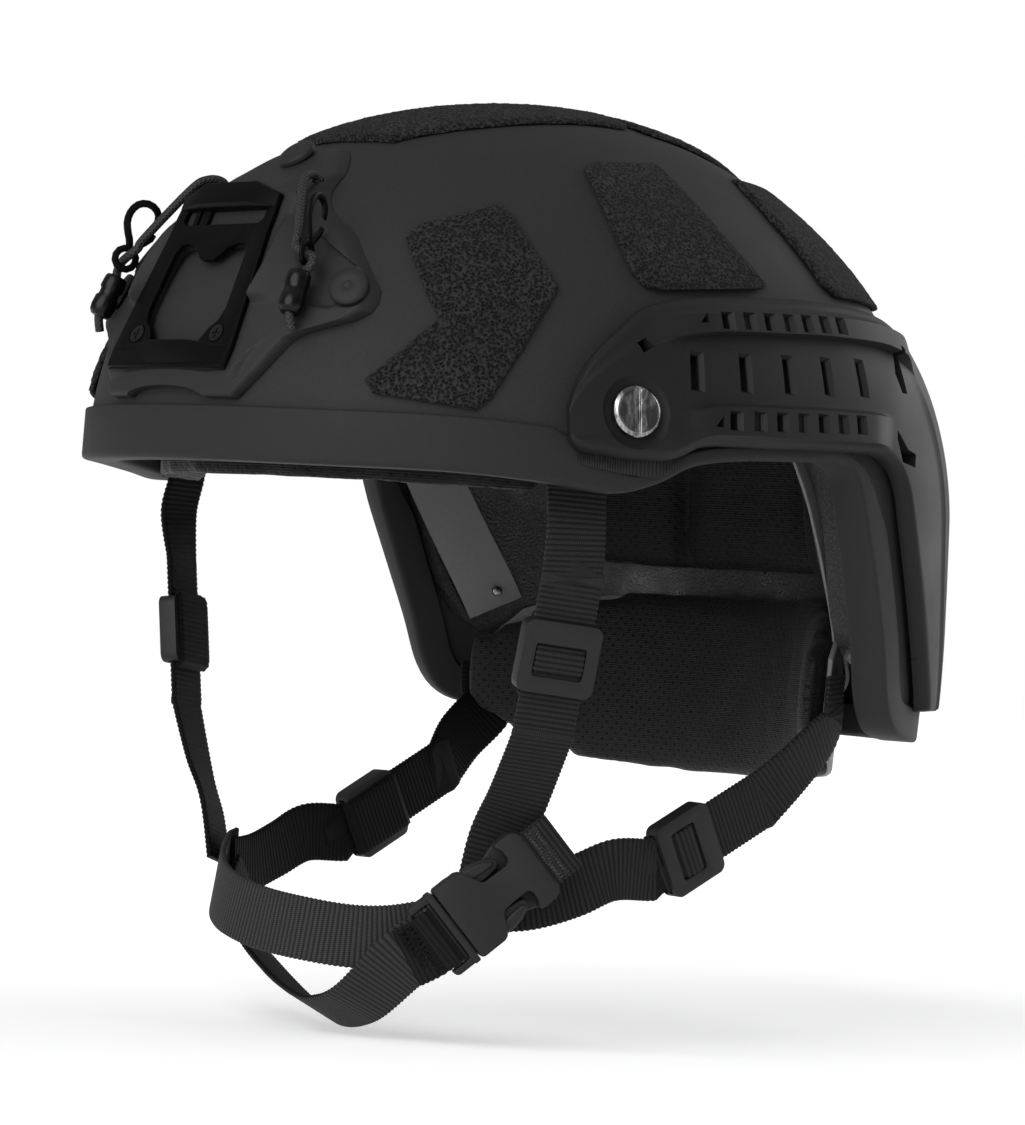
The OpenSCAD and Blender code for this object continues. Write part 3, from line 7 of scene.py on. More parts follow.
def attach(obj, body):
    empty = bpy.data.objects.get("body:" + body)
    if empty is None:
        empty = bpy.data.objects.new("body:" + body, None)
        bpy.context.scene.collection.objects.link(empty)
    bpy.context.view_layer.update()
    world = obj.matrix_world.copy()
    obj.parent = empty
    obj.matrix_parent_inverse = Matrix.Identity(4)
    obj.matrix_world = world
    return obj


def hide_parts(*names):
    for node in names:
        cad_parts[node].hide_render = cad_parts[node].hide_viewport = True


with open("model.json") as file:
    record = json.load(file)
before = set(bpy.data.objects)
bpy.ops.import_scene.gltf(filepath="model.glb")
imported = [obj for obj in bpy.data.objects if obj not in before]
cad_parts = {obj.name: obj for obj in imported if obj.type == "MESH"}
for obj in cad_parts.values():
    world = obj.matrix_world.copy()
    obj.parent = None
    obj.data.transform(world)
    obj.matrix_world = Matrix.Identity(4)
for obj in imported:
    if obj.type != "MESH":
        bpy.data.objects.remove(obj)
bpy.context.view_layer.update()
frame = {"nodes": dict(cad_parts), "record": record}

mm = 0.001
bpy.ops.object.select_all(action="DESELECT")

# The wall of the helmet: a squared dome in millimetres, its widest line at height 0
wall = {
    "halfWidth": 113.0, "front": 139.0, "rear": 124.0, "crown": 115.0, "thickness": 8.0,
    "planPower": 2.17, "frontPower": 2.24, "rearPower": 1.84, "skirtTaper": 0.022, "seat": 83.4,
}


def mix(a, b, share):
    return a + (b - a) * share


def ramp(value, low, high):
    share = min(max((value - low) / (high - low), 0.0), 1.0)
    return share * share * (3 - 2 * share)


def turned(angle):
    return math.sin(math.radians(angle)), math.cos(math.radians(angle))


def planReach(angle, off):
    s, c = turned(angle)
    depth = (wall["front"] if c > 0 else wall["rear"]) + off
    power = wall["planPower"]
    return (abs(s / (wall["halfWidth"] + off)) ** power + abs(c / depth) ** power) ** (-1 / power)


def profilePower(angle):
    return mix(wall["frontPower"], wall["rearPower"], (1 - turned(angle)[1]) / 2)


def rise(angle, z, off):
    if z < 0:
        return 1 - wall["skirtTaper"] * (z / 80) ** 2
    power = profilePower(angle)
    return max(0.0, 1 - (z / (wall["crown"] + off)) ** power) ** (1 / power)


def onShell(angle, z, off):
    reach = planReach(angle, off) * rise(angle, z, off)
    s, c = turned(angle)
    return Vector((reach * s, -reach * c, z))


def overShell(x, y, off):
    angle = math.degrees(math.atan2(x, -y))
    power = profilePower(angle)
    share = math.hypot(x, y) / planReach(angle, off)
    return Vector((x, y, (wall["crown"] + off) * max(0.0, 1 - share ** power) ** (1 / power)))


def wallNormal(angle, z):
    across = onShell(angle + 1, z, 0) - onShell(angle - 1, z, 0)
    up = onShell(angle, z + 1, 0) - onShell(angle, z - 1, 0)
    return across.cross(up).normalized()


def wallAxes(angle, z):
    out = wallNormal(angle, z)
    flat = math.hypot(out.x, out.y)
    down = Vector((out.z * out.x / flat, out.z * out.y / flat, -flat))
    return down, Vector((-out.y / flat, out.x / flat, 0)), out


def wallSpot(angle, z, x, y, h):
    down, along, out = wallAxes(angle, z)
    return onShell(angle, z, 0) + out * h + down * x + along * y


def smoothAt(keys, i, share):
    last = len(keys) - 1
    a, b, c, d = keys[max(i - 1, 0)], keys[i], keys[min(i + 1, last)], keys[min(i + 2, last)]
    return (b * 2 + (c - a) * share + (a * 2 - b * 5 + c * 4 - d) * share ** 2
            + (b * 3 - a - c * 3 + d) * share ** 3) * 0.5


def smoothLine(keys, steps):
    keys = [Vector(key) for key in keys]
    line = [smoothAt(keys, i, j / steps) for i in range(len(keys) - 1) for j in range(steps)]
    return line + [keys[-1].copy()]


def seated(point, side=1):
    # from shell millimetres to the frame's metres
    return Vector((point[0] * side * mm, point[1] * mm, (point[2] - wall["seat"]) * mm))


def camel(node):
    first, *rest = node.split("_")
    return first + "".join(word.capitalize() for word in rest)


def circle(sides):
    return [turned(360 * k / sides) for k in range(sides)]


def setAll(thing, **settings):
    for name, value in settings.items():
        setattr(thing, name, value)


# making and joining pieces
def alone(piece, *others):
    bpy.ops.object.select_all(action="DESELECT")
    for one in (piece, *others):
        one.select_set(True)
    bpy.context.view_layer.objects.active = piece


def joined(piece, *others):
    alone(piece, *others)
    bpy.ops.object.join()
    return piece


def modified(piece, kind, **settings):
    modifier = piece.modifiers.new(kind.lower(), kind)
    setAll(modifier, **settings)
    alone(piece)
    bpy.ops.object.modifier_apply(modifier=modifier.name)
    return piece


def edited(piece, *steps):
    alone(piece)
    bpy.ops.object.mode_set(mode="EDIT")
    bpy.ops.mesh.select_all(action="SELECT")
    for step in steps:
        step()
    bpy.ops.object.mode_set(mode="OBJECT")
    return piece


def merge():
    bpy.ops.mesh.remove_doubles(threshold=0.000002)


def faceOut():
    bpy.ops.mesh.select_all(action="SELECT")
    bpy.ops.mesh.normals_make_consistent(inside=False)


def freeEdges():
    bpy.ops.mesh.select_all(action="DESELECT")
    bpy.ops.mesh.select_mode(type="EDGE")
    bpy.ops.mesh.select_non_manifold(extend=False, use_wire=False, use_multi_face=False,
                                     use_non_contiguous=False, use_verts=False)


def gridPiece(name, rows, columns, place, uvPlace=None):
    bpy.ops.mesh.primitive_grid_add(x_subdivisions=columns, y_subdivisions=rows, size=2)
    piece = bpy.context.object
    mesh = piece.data
    piece.name = mesh.name = name
    spots = [(round((v.co.y + 1) / 2 * rows), round((v.co.x + 1) / 2 * columns)) for v in mesh.vertices]
    for vertex, (row, column) in zip(mesh.vertices, spots):
        vertex.co = place(row, column)
    if uvPlace:
        layer = mesh.uv_layers.active.data
        for loop in mesh.loops:
            layer[loop.index].uv = uvPlace(*spots[loop.vertex_index])
    return piece


def wallPiece(name, rows, columns, place, outer, inner):
    # two sheets, one outside the other, with their free edges bridged
    piece = gridPiece(name, rows, columns, lambda r, c: place(r, c, outer))
    under = gridPiece(name + "Under", rows, columns, lambda r, c: place(r, c, inner))
    return edited(joined(piece, under), merge, freeEdges, bpy.ops.mesh.bridge_edge_loops, faceOut)


def fillEnds():
    freeEdges()
    bpy.ops.mesh.fill_holes(sides=0)


def ringPiece(name, rings, uvPlace=None, capped=True):
    # skin over closed rings of points in metres; it closes on itself where the last ring is the first
    around = len(rings[0])
    piece = gridPiece(name, len(rings) - 1, around, lambda row, column: rings[row][column % around], uvPlace)
    return edited(piece, merge, *([fillEnds] if capped else []), faceOut)


def runsOf(line):
    last = len(line) - 1
    return [(line[min(i + 1, last)] - line[max(i - 1, 0)]).normalized() for i in range(last + 1)]


def lengthsOf(line):
    lengths = [0.0]
    for a, b in zip(line, line[1:]):
        lengths.append(lengths[-1] + (b - a).length)
    return lengths


def tubePiece(name, line, radius, sides=12):
    # round tube along a line in metres, its UV in metres along and round it
    runs, lengths = runsOf(line), lengthsOf(line)
    side = runs[0].cross(Vector((0.3, 0.1, 1))).normalized()
    rings = []
    for point, run in zip(line, runs):
        side = (side - run * side.dot(run)).normalized()
        up = run.cross(side)
        rings.append([point + (side * c + up * s) * radius for s, c in circle(sides)])
    return ringPiece(name, rings, lambda row, column: (lengths[row], column / sides * 2 * math.pi * radius))


def stackPiece(name, origin, axes, layers, side=1):
    # skin over outlines on the first two axes, each layer at its height on the third
    return ringPiece(name, [[seated(origin + axes[0] * x + axes[1] * y + axes[2] * h, side) for x, y in outline]
                            for h, outline in layers])


def prism(name, origin, axes, heights, outline, side=1):
    return stackPiece(name, origin, axes, [(h, outline) for h in heights], side)


def turnedPiece(name, origin, axes, profile, sides=48):
    # body turned about the third axis; the profile is radius and height
    return ringPiece(name, [[seated(origin + (axes[0] * c + axes[1] * s) * radius + axes[2] * h)
                             for s, c in circle(sides)] for radius, h in profile])


def boredPiece(angle, z, profile, sides=48):
    # turned cutter that stands on the wall
    return turnedPiece("cut", onShell(angle, z, 0), wallAxes(angle, z), profile, sides)


def flipped(piece):
    for vertex in piece.data.vertices:
        vertex.co.x *= -1
    return edited(piece, bpy.ops.mesh.flip_normals)


def copied(piece, name, flip=False):
    twin = piece.copy()
    twin.data = piece.data.copy()
    twin.name = twin.data.name = name
    twin.parent = None
    bpy.context.collection.objects.link(twin)
    return flipped(twin) if flip else twin


def cutBy(piece, *cutters):
    # the cutters of one call don't overlap each other
    cutter = joined(*cutters)
    modified(piece, "BOOLEAN", operation="DIFFERENCE", solver="EXACT", object=cutter)
    bpy.data.objects.remove(cutter)
    return piece


def finished(piece, node, finish, smooth=35, replaces=True, body=None):
    alone(piece)
    bpy.ops.object.shade_smooth_by_angle(angle=math.radians(smooth))
    piece.data.materials.clear()
    piece.data.materials.append(finishes[finish])
    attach(piece, body or bodyOf[node])
    if replaces:
        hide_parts(node)
    return piece


def rounded(piece, width, steps=2, angle=38):
    edited(piece, merge, lambda: bpy.ops.mesh.dissolve_limited(angle_limit=math.radians(0.8)))
    return modified(piece, "BEVEL", width=width * mm, segments=steps, limit_method="ANGLE",
                    angle_limit=math.radians(angle))


def roundBox(width, length, radius, steps=4, middle=(0.0, 0.0)):
    corners = ((1, 1, 0), (-1, 1, 90), (-1, -1, 180), (1, -1, 270))
    return [(middle[0] + sx * (width / 2 - radius) + radius * turned(start + 90 * k / steps)[1],
             middle[1] + sy * (length / 2 - radius) + radius * turned(start + 90 * k / steps)[0])
            for sx, sy, start in corners for k in range(steps + 1)]


def box(x0, x1, y0, y1):
    return [(x0, y0), (x1, y0), (x1, y1), (x0, y1)]


def oblong(length, width):
    return box(-length / 2, length / 2, -width / 2, width / 2)


def mirrored(outline):
    # both halves of an outline given on its positive side, first to last
    return list(outline) + [(-x, y) for x, y in outline[::-1]]


bodyOf = {node: body for body, nodes in frame["record"]["behaviour"]["bodies"].items() for node in nodes}
sides = {"left": 1, "right": -1}
print("wall and tools ready")

# camera, floor and light
view = {
    "back": (0.7441, -0.6670, -0.0356), "right": (0.6676, 0.7411, 0.0708), "up": (-0.0209, -0.0765, 0.9968),
    "distance": 1.3359, "lens": {"sensor_fit": "VERTICAL", "sensor_height": 36, "lens": 141.6,
                                 "shift_x": -0.01476, "shift_y": -0.0576, "clip_end": 60},
}
bpy.ops.object.camera_add()
camera = bpy.context.object
camera.name = "productCamera"
spot = Vector(view["back"]) * view["distance"] + Vector((0, 0, -wall["seat"] * mm))
camera.matrix_world = Matrix(((*view["right"], 0), (*view["up"], 0), (*view["back"], 0), (*spot, 1))).transposed()
setAll(camera.data, **view["lens"])
bpy.context.scene.camera = camera
bpy.context.scene.view_settings.view_transform = "Standard"

studio = {
    "seen": 1.0, "ambient": 0.24, "floor": -0.2425, "floorSize": 24,
    "paper": {"Base Color": (0.95, 0.95, 0.955, 1), "Roughness": 0.9, "Specular IOR Level": 0.0,
              "Emission Color": (1, 1, 1, 1), "Emission Strength": 0.36},
    # azimuth, height angle, strength, spread
    "suns": {"keySun": (16, 22, 2.6, 60), "sideSun": (176, 16, 1.3, 50), "topSun": (20, 78, 0.35, 100)},
}
sky = bpy.data.worlds.new("studioWhite")
sky.use_nodes = True
skyNodes = sky.node_tree.nodes
lit, paperWall = skyNodes["Background"], skyNodes.new("ShaderNodeBackground")
rays, split = skyNodes.new("ShaderNodeLightPath"), skyNodes.new("ShaderNodeMixShader")
for node, strength in ((lit, studio["ambient"]), (paperWall, studio["seen"])):
    node.inputs["Color"].default_value = (1, 1, 1, 1)
    node.inputs["Strength"].default_value = strength
for source, target in ((rays.outputs["Is Camera Ray"], split.inputs[0]), (lit.outputs[0], split.inputs[1]),
                       (paperWall.outputs[0], split.inputs[2]),
                       (split.outputs[0], skyNodes["World Output"].inputs["Surface"])):
    sky.node_tree.links.new(source, target)
bpy.context.scene.world = sky

for name, (azimuth, height, strength, spread) in studio["suns"].items():
    around, up = math.radians(azimuth), math.radians(height)
    way = Vector((math.sin(around) * math.cos(up), -math.cos(around) * math.cos(up), math.sin(up)))
    bpy.ops.object.light_add(type="SUN", location=way * 2)
    lamp = bpy.context.object
    lamp.name = name
    setAll(lamp.data, energy=strength, angle=math.radians(spread))
    lamp.rotation_euler = way.to_track_quat("Z", "Y").to_euler()

bpy.ops.mesh.primitive_plane_add(size=studio["floorSize"], location=(0, 0, 0))
floor = bpy.context.object
floor.name = "studioFloor"
for vertex in floor.data.vertices:
    vertex.co.z = studio["floor"]
paper = bpy.data.materials.new("studioPaper")
paper.use_nodes = True
for socket, value in studio["paper"].items():
    paper.node_tree.nodes["Principled BSDF"].inputs[socket].default_value = value
floor.data.materials.append(paper)
print("camera, floor and light ready")


# finishes
def grey(tone, warmth=0.0):
    return (tone * (1 + warmth), tone, tone * (1 - warmth))


class Look:
    # a Principled material and the few nodes that the finishes share; a bare number stands for a grey
    def __init__(self, name, tone, roughness, specular=0.5, metallic=0.0):
        self.material = bpy.data.materials.new(name)
        self.material.use_nodes = True
        self.nodes = self.material.node_tree.nodes
        self.feed(self.nodes["Principled BSDF"], {"Base Color": tone, "Roughness": roughness,
                                                  "Specular IOR Level": specular, "Metallic": metallic})
        self.place = self.nodes.new("ShaderNodeTexCoord")

    def feed(self, node, inputs):
        for socket, value in inputs.items():
            socket = node.inputs[socket]
            if isinstance(value, bpy.types.NodeSocket):
                self.material.node_tree.links.new(value, socket)
            elif socket.type == "RGBA":
                socket.default_value = (*(grey(value) if isinstance(value, float) else value), 1)
            else:
                socket.default_value = value

    def add(self, kind, out, inputs, **settings):
        node = self.nodes.new("ShaderNode" + kind)
        setAll(node, **settings)
        self.feed(node, inputs)
        return node.outputs[out]

    def mapped(self, kind="Object", scale=(1, 1, 1), turn=0):
        return self.add("Mapping", "Vector", {"Scale": scale, "Rotation": (0, 0, math.radians(turn)),
                                              "Vector": self.place.outputs[kind]})

    def cloud(self, where, scale, detail=2.0, rough=0.5):
        return self.add("TexNoise", "Fac", {"Scale": scale, "Detail": detail, "Roughness": rough, "Vector": where})

    def cells(self, where, scale, jitter=1.0):
        return self.add("TexVoronoi", "Distance", {"Scale": scale, "Randomness": jitter, "Vector": where},
                        feature="F1")

    def bands(self, where, scale, direction="X", distortion=0.0, detail=1.0, detailScale=1.0):
        return self.add("TexWave", "Fac", {"Scale": scale, "Distortion": distortion, "Detail": detail,
                                           "Detail Scale": detailScale, "Vector": where},
                        wave_type="BANDS", bands_direction=direction, wave_profile="SIN")

    def ramp(self, value, *stops):
        node = self.nodes.new("ShaderNodeValToRGB")
        while len(node.color_ramp.elements) < len(stops):
            node.color_ramp.elements.new(0.5)
        for element, (at, tone) in zip(node.color_ramp.elements, stops):
            setAll(element, position=at, color=(*grey(tone), 1))
        self.feed(node, {"Fac": value})
        return node.outputs["Color"]

    def spread(self, value, low, high, fromLow=0.3, fromHigh=0.7):
        return self.add("MapRange", "Result", {"From Min": fromLow, "From Max": fromHigh, "To Min": low,
                                               "To Max": high, "Value": value})

    def sum(self, operation, a, b):
        return self.add("Math", "Value", {0: a, 1: b}, operation=operation)

    def blend(self, a, shareA, b, shareB):
        return self.sum("ADD", self.sum("MULTIPLY", a, shareA), self.sum("MULTIPLY", b, shareB))

    def tint(self, share, a, b):
        return self.add("Mix", 2, {"Factor": share, 6: a, 7: b}, data_type="RGBA")

    def done(self, colour, height, depth, gloss=None, sheen=None):
        inputs = {"Base Color": colour, "Normal": self.add("Bump", "Normal", {
            "Distance": depth, "Strength": 1.0, "Height": height})}
        if gloss:
            inputs["Roughness"] = gloss
        if sheen:
            inputs["Sheen Weight"], inputs["Sheen Roughness"] = sheen
        self.feed(self.nodes["Principled BSDF"], inputs)
        return self.material


def mouldedLook(name, tone, spread, grain, depth, rough, specular, wear):
    # paint or plastic: fine grain, slow drift of tone, and edges rubbed lighter
    look = Look(name, tone, rough[0], specular)
    where = look.mapped()
    fine, slow = look.cloud(where, grain, 3.0, 0.6), look.cloud(where, 28.0, 3.0, 0.55)
    grains = look.ramp(fine, (0.32, tone * (1 - spread)), (0.68, tone * (1 + spread)))
    base = look.tint(look.spread(slow, 0.0, 0.22, 0.35), grains, grey(tone * 1.35, 0.01))
    if wear:
        edge = look.add("NewGeometry", "Pointiness", {})
        rubbed = look.sum("MULTIPLY", look.spread(edge, 0.0, wear, 0.53, 0.62), look.spread(slow, 0.4, 1.0, 0.4, 0.6))
        base = look.tint(rubbed, base, tone * 2.4)
    return look.done(base, fine, depth, look.spread(slow, *rough))


moulded = {
    # tone, spread, grain, depth, roughness, specular, wear
    "shellCoat": (0.0185, 0.16, 1900.0, 0.00007, (0.62, 0.74), 0.2, 0.0),
    "trimRubber": (0.0165, 0.08, 900.0, 0.00002, (0.58, 0.68), 0.18, 0.0),
    "shroudPolymer": (0.0165, 0.1, 1500.0, 0.00004, (0.52, 0.64), 0.2, 0.3),
    "insertPolymer": (0.0012, 0.1, 1200.0, 0.00003, (0.4, 0.5), 0.08, 0.2),
    "railPolymer": (0.0098, 0.1, 1500.0, 0.00004, (0.5, 0.6), 0.18, 0.25),
    "armPlastic": (0.15, 0.06, 900.0, 0.00002, (0.38, 0.48), 0.35, 0.0),
    "dialPlastic": (0.012, 0.08, 1200.0, 0.00003, (0.45, 0.55), 0.25, 0.2),
    "ferrulePolymer": (0.0012, 0.1, 1200.0, 0.00002, (0.22, 0.3), 0.22, 0.0),
    "clipPolymer": (0.0012, 0.1, 1200.0, 0.00002, (0.35, 0.45), 0.1, 0.0),
    "bucklePlastic": (0.014, 0.08, 1600.0, 0.00003, (0.46, 0.56), 0.22, 0.25),
    "screwBlack": (0.0035, 0.1, 1400.0, 0.00002, (0.32, 0.44), 0.25, 0.3),
    "blackSteel": (0.013, 0.1, 1400.0, 0.00002, (0.38, 0.5), 0.3, 0.2),
}


def bareSteelLook(name):
    look = Look(name, (0.55, 0.55, 0.56), 0.28, 0.5, 1.0)
    brushed = look.cloud(look.mapped(scale=(1, 1, 9)), 700.0, 4.0, 0.6)
    slow = look.cloud(look.mapped(scale=(1, 1, 0.35)), 420.0)
    # dark and bright streaks in the steel's colour: painted reflections of the surroundings; the fine brushing is the
    # steel's own grain
    paintedReflectionStreaks = look.ramp(slow, (0.4, 0.11), (0.56, 0.5), (0.66, 0.16))
    return look.done(look.tint(look.spread(brushed, 0.0, 0.5), paintedReflectionStreaks, 0.2), slow, 0.00004,
                     look.spread(slow, 0.12, 0.34))


def loopLook(name):
    # loop pile: tangled fibres with dark gaps between them
    look = Look(name, 0.008, 0.9, 0.06)
    where = look.mapped()
    pile = look.blend(look.cloud(where, 1500.0, 5.0, 0.75), 0.7, look.cells(where, 1100.0), 0.45)
    shade = look.ramp(pile, (0.36, 0.0017), (0.52, 0.0085), (0.72, 0.034))
    return look.done(look.tint(look.spread(look.cloud(where, 60.0), 0.0, 0.3), shade, 0.006), pile, 0.0005,
                     sheen=(0.03, 0.5))


def foamLook(name):
    # beaded foam with a slight skin gloss
    look = Look(name, 0.012, 0.4, 0.4)
    where = look.mapped()
    beads, fine = look.cells(where, 1150.0), look.cloud(where, 2400.0, 3.0)
    skin = look.ramp(beads, (0.08, 0.03), (0.4, 0.011), (0.7, 0.004))
    return look.done(look.tint(look.spread(fine, 0.0, 1.0, 0.66, 0.76), skin, 0.05),
                     look.blend(beads, -0.8, fine, 0.3), 0.00008,
                     look.spread(look.cloud(where, 120.0), 0.22, 0.5))


meshes = {
    # spacer mesh of the head pads: staggered holes 3 mm apart in fine knitted rows
    "padFabric": {"tone": 0.006, "roughness": (0.62, 0.42, 0.75), "specular": 0.14, "jitter": 0.22,
                  "open": (0.16, 0.3), "knit": (420.0, 1.2), "knitShare": 0.4, "fuzz": 1800.0,
                  "yarn": (0.002, 0.006, 0.02), "hole": 0.0016, "relief": (0.6, 0.00025), "sheen": 0.04},
    # the nape pad's is denser
    "napeMesh": {"tone": 0.008, "roughness": (0.6, 0.4, 0.72), "specular": 0.16, "jitter": 0.1,
                 "open": (0.12, 0.24), "knit": (560.0, 1.0), "knitShare": 0.45, "fuzz": 2200.0,
                 "yarn": (0.003, 0.009, 0.03), "hole": 0.0012, "relief": (0.7, 0.0003), "sheen": 0.05},
}


def meshLook(name):
    # read on the pad's own map
    mesh = meshes[name]
    look = Look(name, mesh["tone"], mesh["roughness"][0], mesh["specular"])
    where, share = look.mapped("UV"), mesh["knitShare"]
    open_ = look.spread(look.cells(look.mapped("UV", turn=45), 400.0, mesh["jitter"]), 0.0, 1.0, *mesh["open"])
    knit = look.bands(where, mesh["knit"][0], "Y", mesh["knit"][1], 2.0, 3.0)
    fuzz = look.cloud(where, mesh["fuzz"], 4.0, 0.7)
    yarn = look.ramp(look.blend(knit, share, fuzz, 1 - share), *zip((0.3, 0.55, 0.78), mesh["yarn"]))
    lift, depth = mesh["relief"]
    return look.done(look.tint(open_, mesh["hole"], yarn), look.blend(open_, lift, knit, 0.3), depth,
                     look.spread(fuzz, *mesh["roughness"][1:]), (mesh["sheen"], 0.4))


def webbingLook(name, tone, inner=1.0):
    # ribbed nylon: the ribs are in the mesh, the yarns of each rib are here, and the grooves are painted darker as
    # painted shade; one face can be painted darker as painted shade
    look = Look(name, tone, 0.6, 0.1)
    where = look.mapped("UV")
    fuzz = look.cloud(look.mapped("UV", (1, 2.2, 1)), 1500.0, 4.0, 0.7)
    grooveShade = look.bands(where, 2 * math.pi / 20 / 0.0015)
    weave = look.blend(look.bands(look.mapped("UV", turn=8), 560.0, "Y", 0.6, 1.0, 2.0), 0.35, fuzz, 0.65)
    base = look.ramp(weave, (0.28, tone * 0.45), (0.52, tone), (0.8, tone * 1.9))
    base = look.tint(look.spread(look.cloud(where, 90.0), 0.0, 0.25), base, tone * 0.8)
    # grooves between the ribs painted darker: painted shade, on top of the ribs' relief in the mesh
    ribs = look.tint(look.spread(grooveShade, 0.0, 0.85, 0.3, 0.95), base, tone * 0.22)
    # one face painted darker, as if turned from the light: painted shade, told apart by the map's offset for the inner
    # face
    shades = (0.0, 1 - inner) if inner >= 0 else (1 + inner, 0.0)
    under = look.spread(look.add("SeparateXYZ", "Y", {"Vector": where}), *shades, 0.0148, 0.0152)
    return look.done(look.tint(under, ribs, 0.0004), weave, 0.00016, look.spread(fuzz, 0.5, 0.78), (0.03, 0.45))


def cordLook(name, tone, pitch):
    # braided sheath: two sets of strands crossing on the cord's own map
    look = Look(name, tone, 0.55, 0.35)
    braid = look.sum("MAXIMUM", *[look.bands(look.mapped("UV", turn=angle), pitch, "X", 0.3) for angle in (40, -40)])
    base = look.ramp(braid, (0.35, tone * 0.25), (0.75, tone), (0.97, tone * 1.7))
    fleck = look.spread(look.cloud(look.mapped("UV"), 1600.0, 3.0), 0.0, 0.5, 0.45)
    return look.done(look.tint(fleck, base, tone * 2.2), braid, 0.0002)


# tone, and the share of it that the inner face keeps (below zero: the outer face); the chin straps' copies are the
# webbing painted lighter as lit, with one face painted darker as painted shade, and the shaded copy is the webbing
# painted darker as painted shade; the threads keep their own tones
webs = {"webbing": (0.0185,), "chinWebbing": (0.036, 0.2), "lowerWebbing": (0.032, -0.25),
        "shadedWebbing": (0.0028,), "stitchThread": (0.05,), "darkThread": (0.006,)}
braids = {"elasticCord": (0.012, 300.0), "laceCord": (0.08, 500.0)}
finishes = {}
for make, table in ((mouldedLook, moulded), (webbingLook, webs), (cordLook, braids)):
    finishes.update({name: make(name, *values) for name, values in table.items()})
for make, names in ((bareSteelLook, ["bareSteel"]), (loopLook, ["loopFabric"]), (foamLook, ["linerFoam"]),
                    (meshLook, meshes)):
    finishes.update({name: make(name) for name in names})
print("finishes ready:", len(finishes))

# cords: the lanyards' elastic and the fit dial's lace
lanyard = {
    "hole": (11.2, 79.5), "bore": [(1.7, 0.8), (1.7, 6), (2.3, 7.4), (2.3, 14)], "ferrule": (18.0, 44.6),
    "diameter": 2.6,
    "start": [(0, 0, 1.6), (0, 0, 5), (3, 0.6, 7.9), (8.5, 2, 8.6)],
    "rest": [(-19.5, -4.9, 6.6), (-16, -4.4, 7), (-13.9, -3, 7.8), (-12.3, 0, 8.2), (-11.2, 2.5, 8.2),
             (-8.8, 2.9, 8.2), (-6.9, 1.7, 8), (-5.4, 0, 8), (0, 0, 8), (5.4, 0, 8), (7.4, 0.2, 7.3),
             (10, 0.8, 5.5)],
}
for word, side in sides.items():
    keys = [wallSpot(*lanyard["hole"], *key) for key in lanyard["start"]]
    keys += [wallSpot(*lanyard["ferrule"], *key) for key in lanyard["rest"]]
    line = [seated(point, side) for point in smoothLine(keys, 8)]
    cord = tubePiece(word + "BungeeCord", line, lanyard["diameter"] / 2 * mm, 14)
    finished(cord, word + "_bungee", "elasticCord", smooth=60)
    lengthsOf(line)[-1]

lace = {"off": -21.025, "diameter": 1.4}
laceLow = wallSpot(180, -66, -7, 0, lace["off"]).z
lace["half"] = [(128.4, -38.5), (133, -43), (142, -48.5), (152, -53), (163, -56.5), (172, laceLow + 0.3),
                (180, laceLow)]
keys = [onShell(a, z, lace["off"]) for a, z in lace["half"]]
keys += [onShell(360 - a, z, lace["off"]) for a, z in lace["half"][-2::-1]]
line = [seated(point) for point in smoothLine(keys, 5)]
cord = tubePiece("fitLaceCord", line, lace["diameter"] / 2 * mm, 10)
finished(cord, "fit_lace", "laceCord", smooth=60)
lengthsOf(line)[-1]
print("cords ready")

# shell, trim and liner
rimKeys = [
    (0, 2), (20, 2), (38, 2.5), (50, 1.5), (59, 0), (65, 3.5), (71, 9.5), (80, 12.4), (92, 14), (99, 14.6),
    (103, 10.5), (106, -3), (109.5, -19), (113.2, -36.76), (116, -52), (119.5, -60), (125, -63),
    (136, -64), (150, -64), (165, -64), (180, -64),
]
linerKeys = [
    (0, 12), (25, 12), (45, 14), (58, 36), (72, 38), (86, 34), (98, 28), (103.5, 20), (108, 8), (112.5, -7),
    (115, -20), (118, -31), (123, -39), (131, -43), (145, -44), (165, -44), (180, -44),
]


def edgeLoop(keys, step):
    keys = [Vector(key) for key in keys]
    half = []
    for i in range(len(keys) - 1):
        d = keys[i + 1] - keys[i]
        count = max(1, math.ceil(math.hypot(2 * d.x, d.y) / step))
        half += [smoothAt(keys, i, j / count) for j in range(count)]
    return half + [keys[-1]] + [Vector((360 - key.x, key.y)) for key in half[:0:-1]]


def domePiece(name, edge, outer, inner, rows):
    count = len(edge)

    def place(row, column, off):
        angle, z = edge[column % count]
        if row == rows:
            return seated((0, 0, wall["crown"] + off))
        return seated(onShell(angle, z + (wall["crown"] + off - z) * turned(90 * row / rows)[0], off))
    return wallPiece(name, rows, count, place, outer, inner)


rim = edgeLoop(rimKeys, 3.2)
finished(domePiece("shellDome", rim, 0, -wall["thickness"], 56), "shell", "shellCoat", smooth=50)
liner = {"out": -8.5, "in": -19.5}
finished(domePiece("linerDome", edgeLoop(linerKeys, 5), liner["out"], liner["in"], 36), "impact_liner",
         "linerFoam", smooth=50)

trim = {"gap": 0.2, "thick": 1.2, "browLip": 14.0, "lip": 9.0, "earLip": 3.0,
        "fade": (50, 62, 102, 107), "round": 0.55}


def trimLip(angle):
    a, b, c, d = trim["fade"]
    if angle < b:
        return mix(trim["browLip"], trim["earLip"], min(max((angle - a) / (b - a), 0), 1))
    return mix(trim["earLip"], trim["lip"], min(max((angle - c) / (d - c), 0), 1))


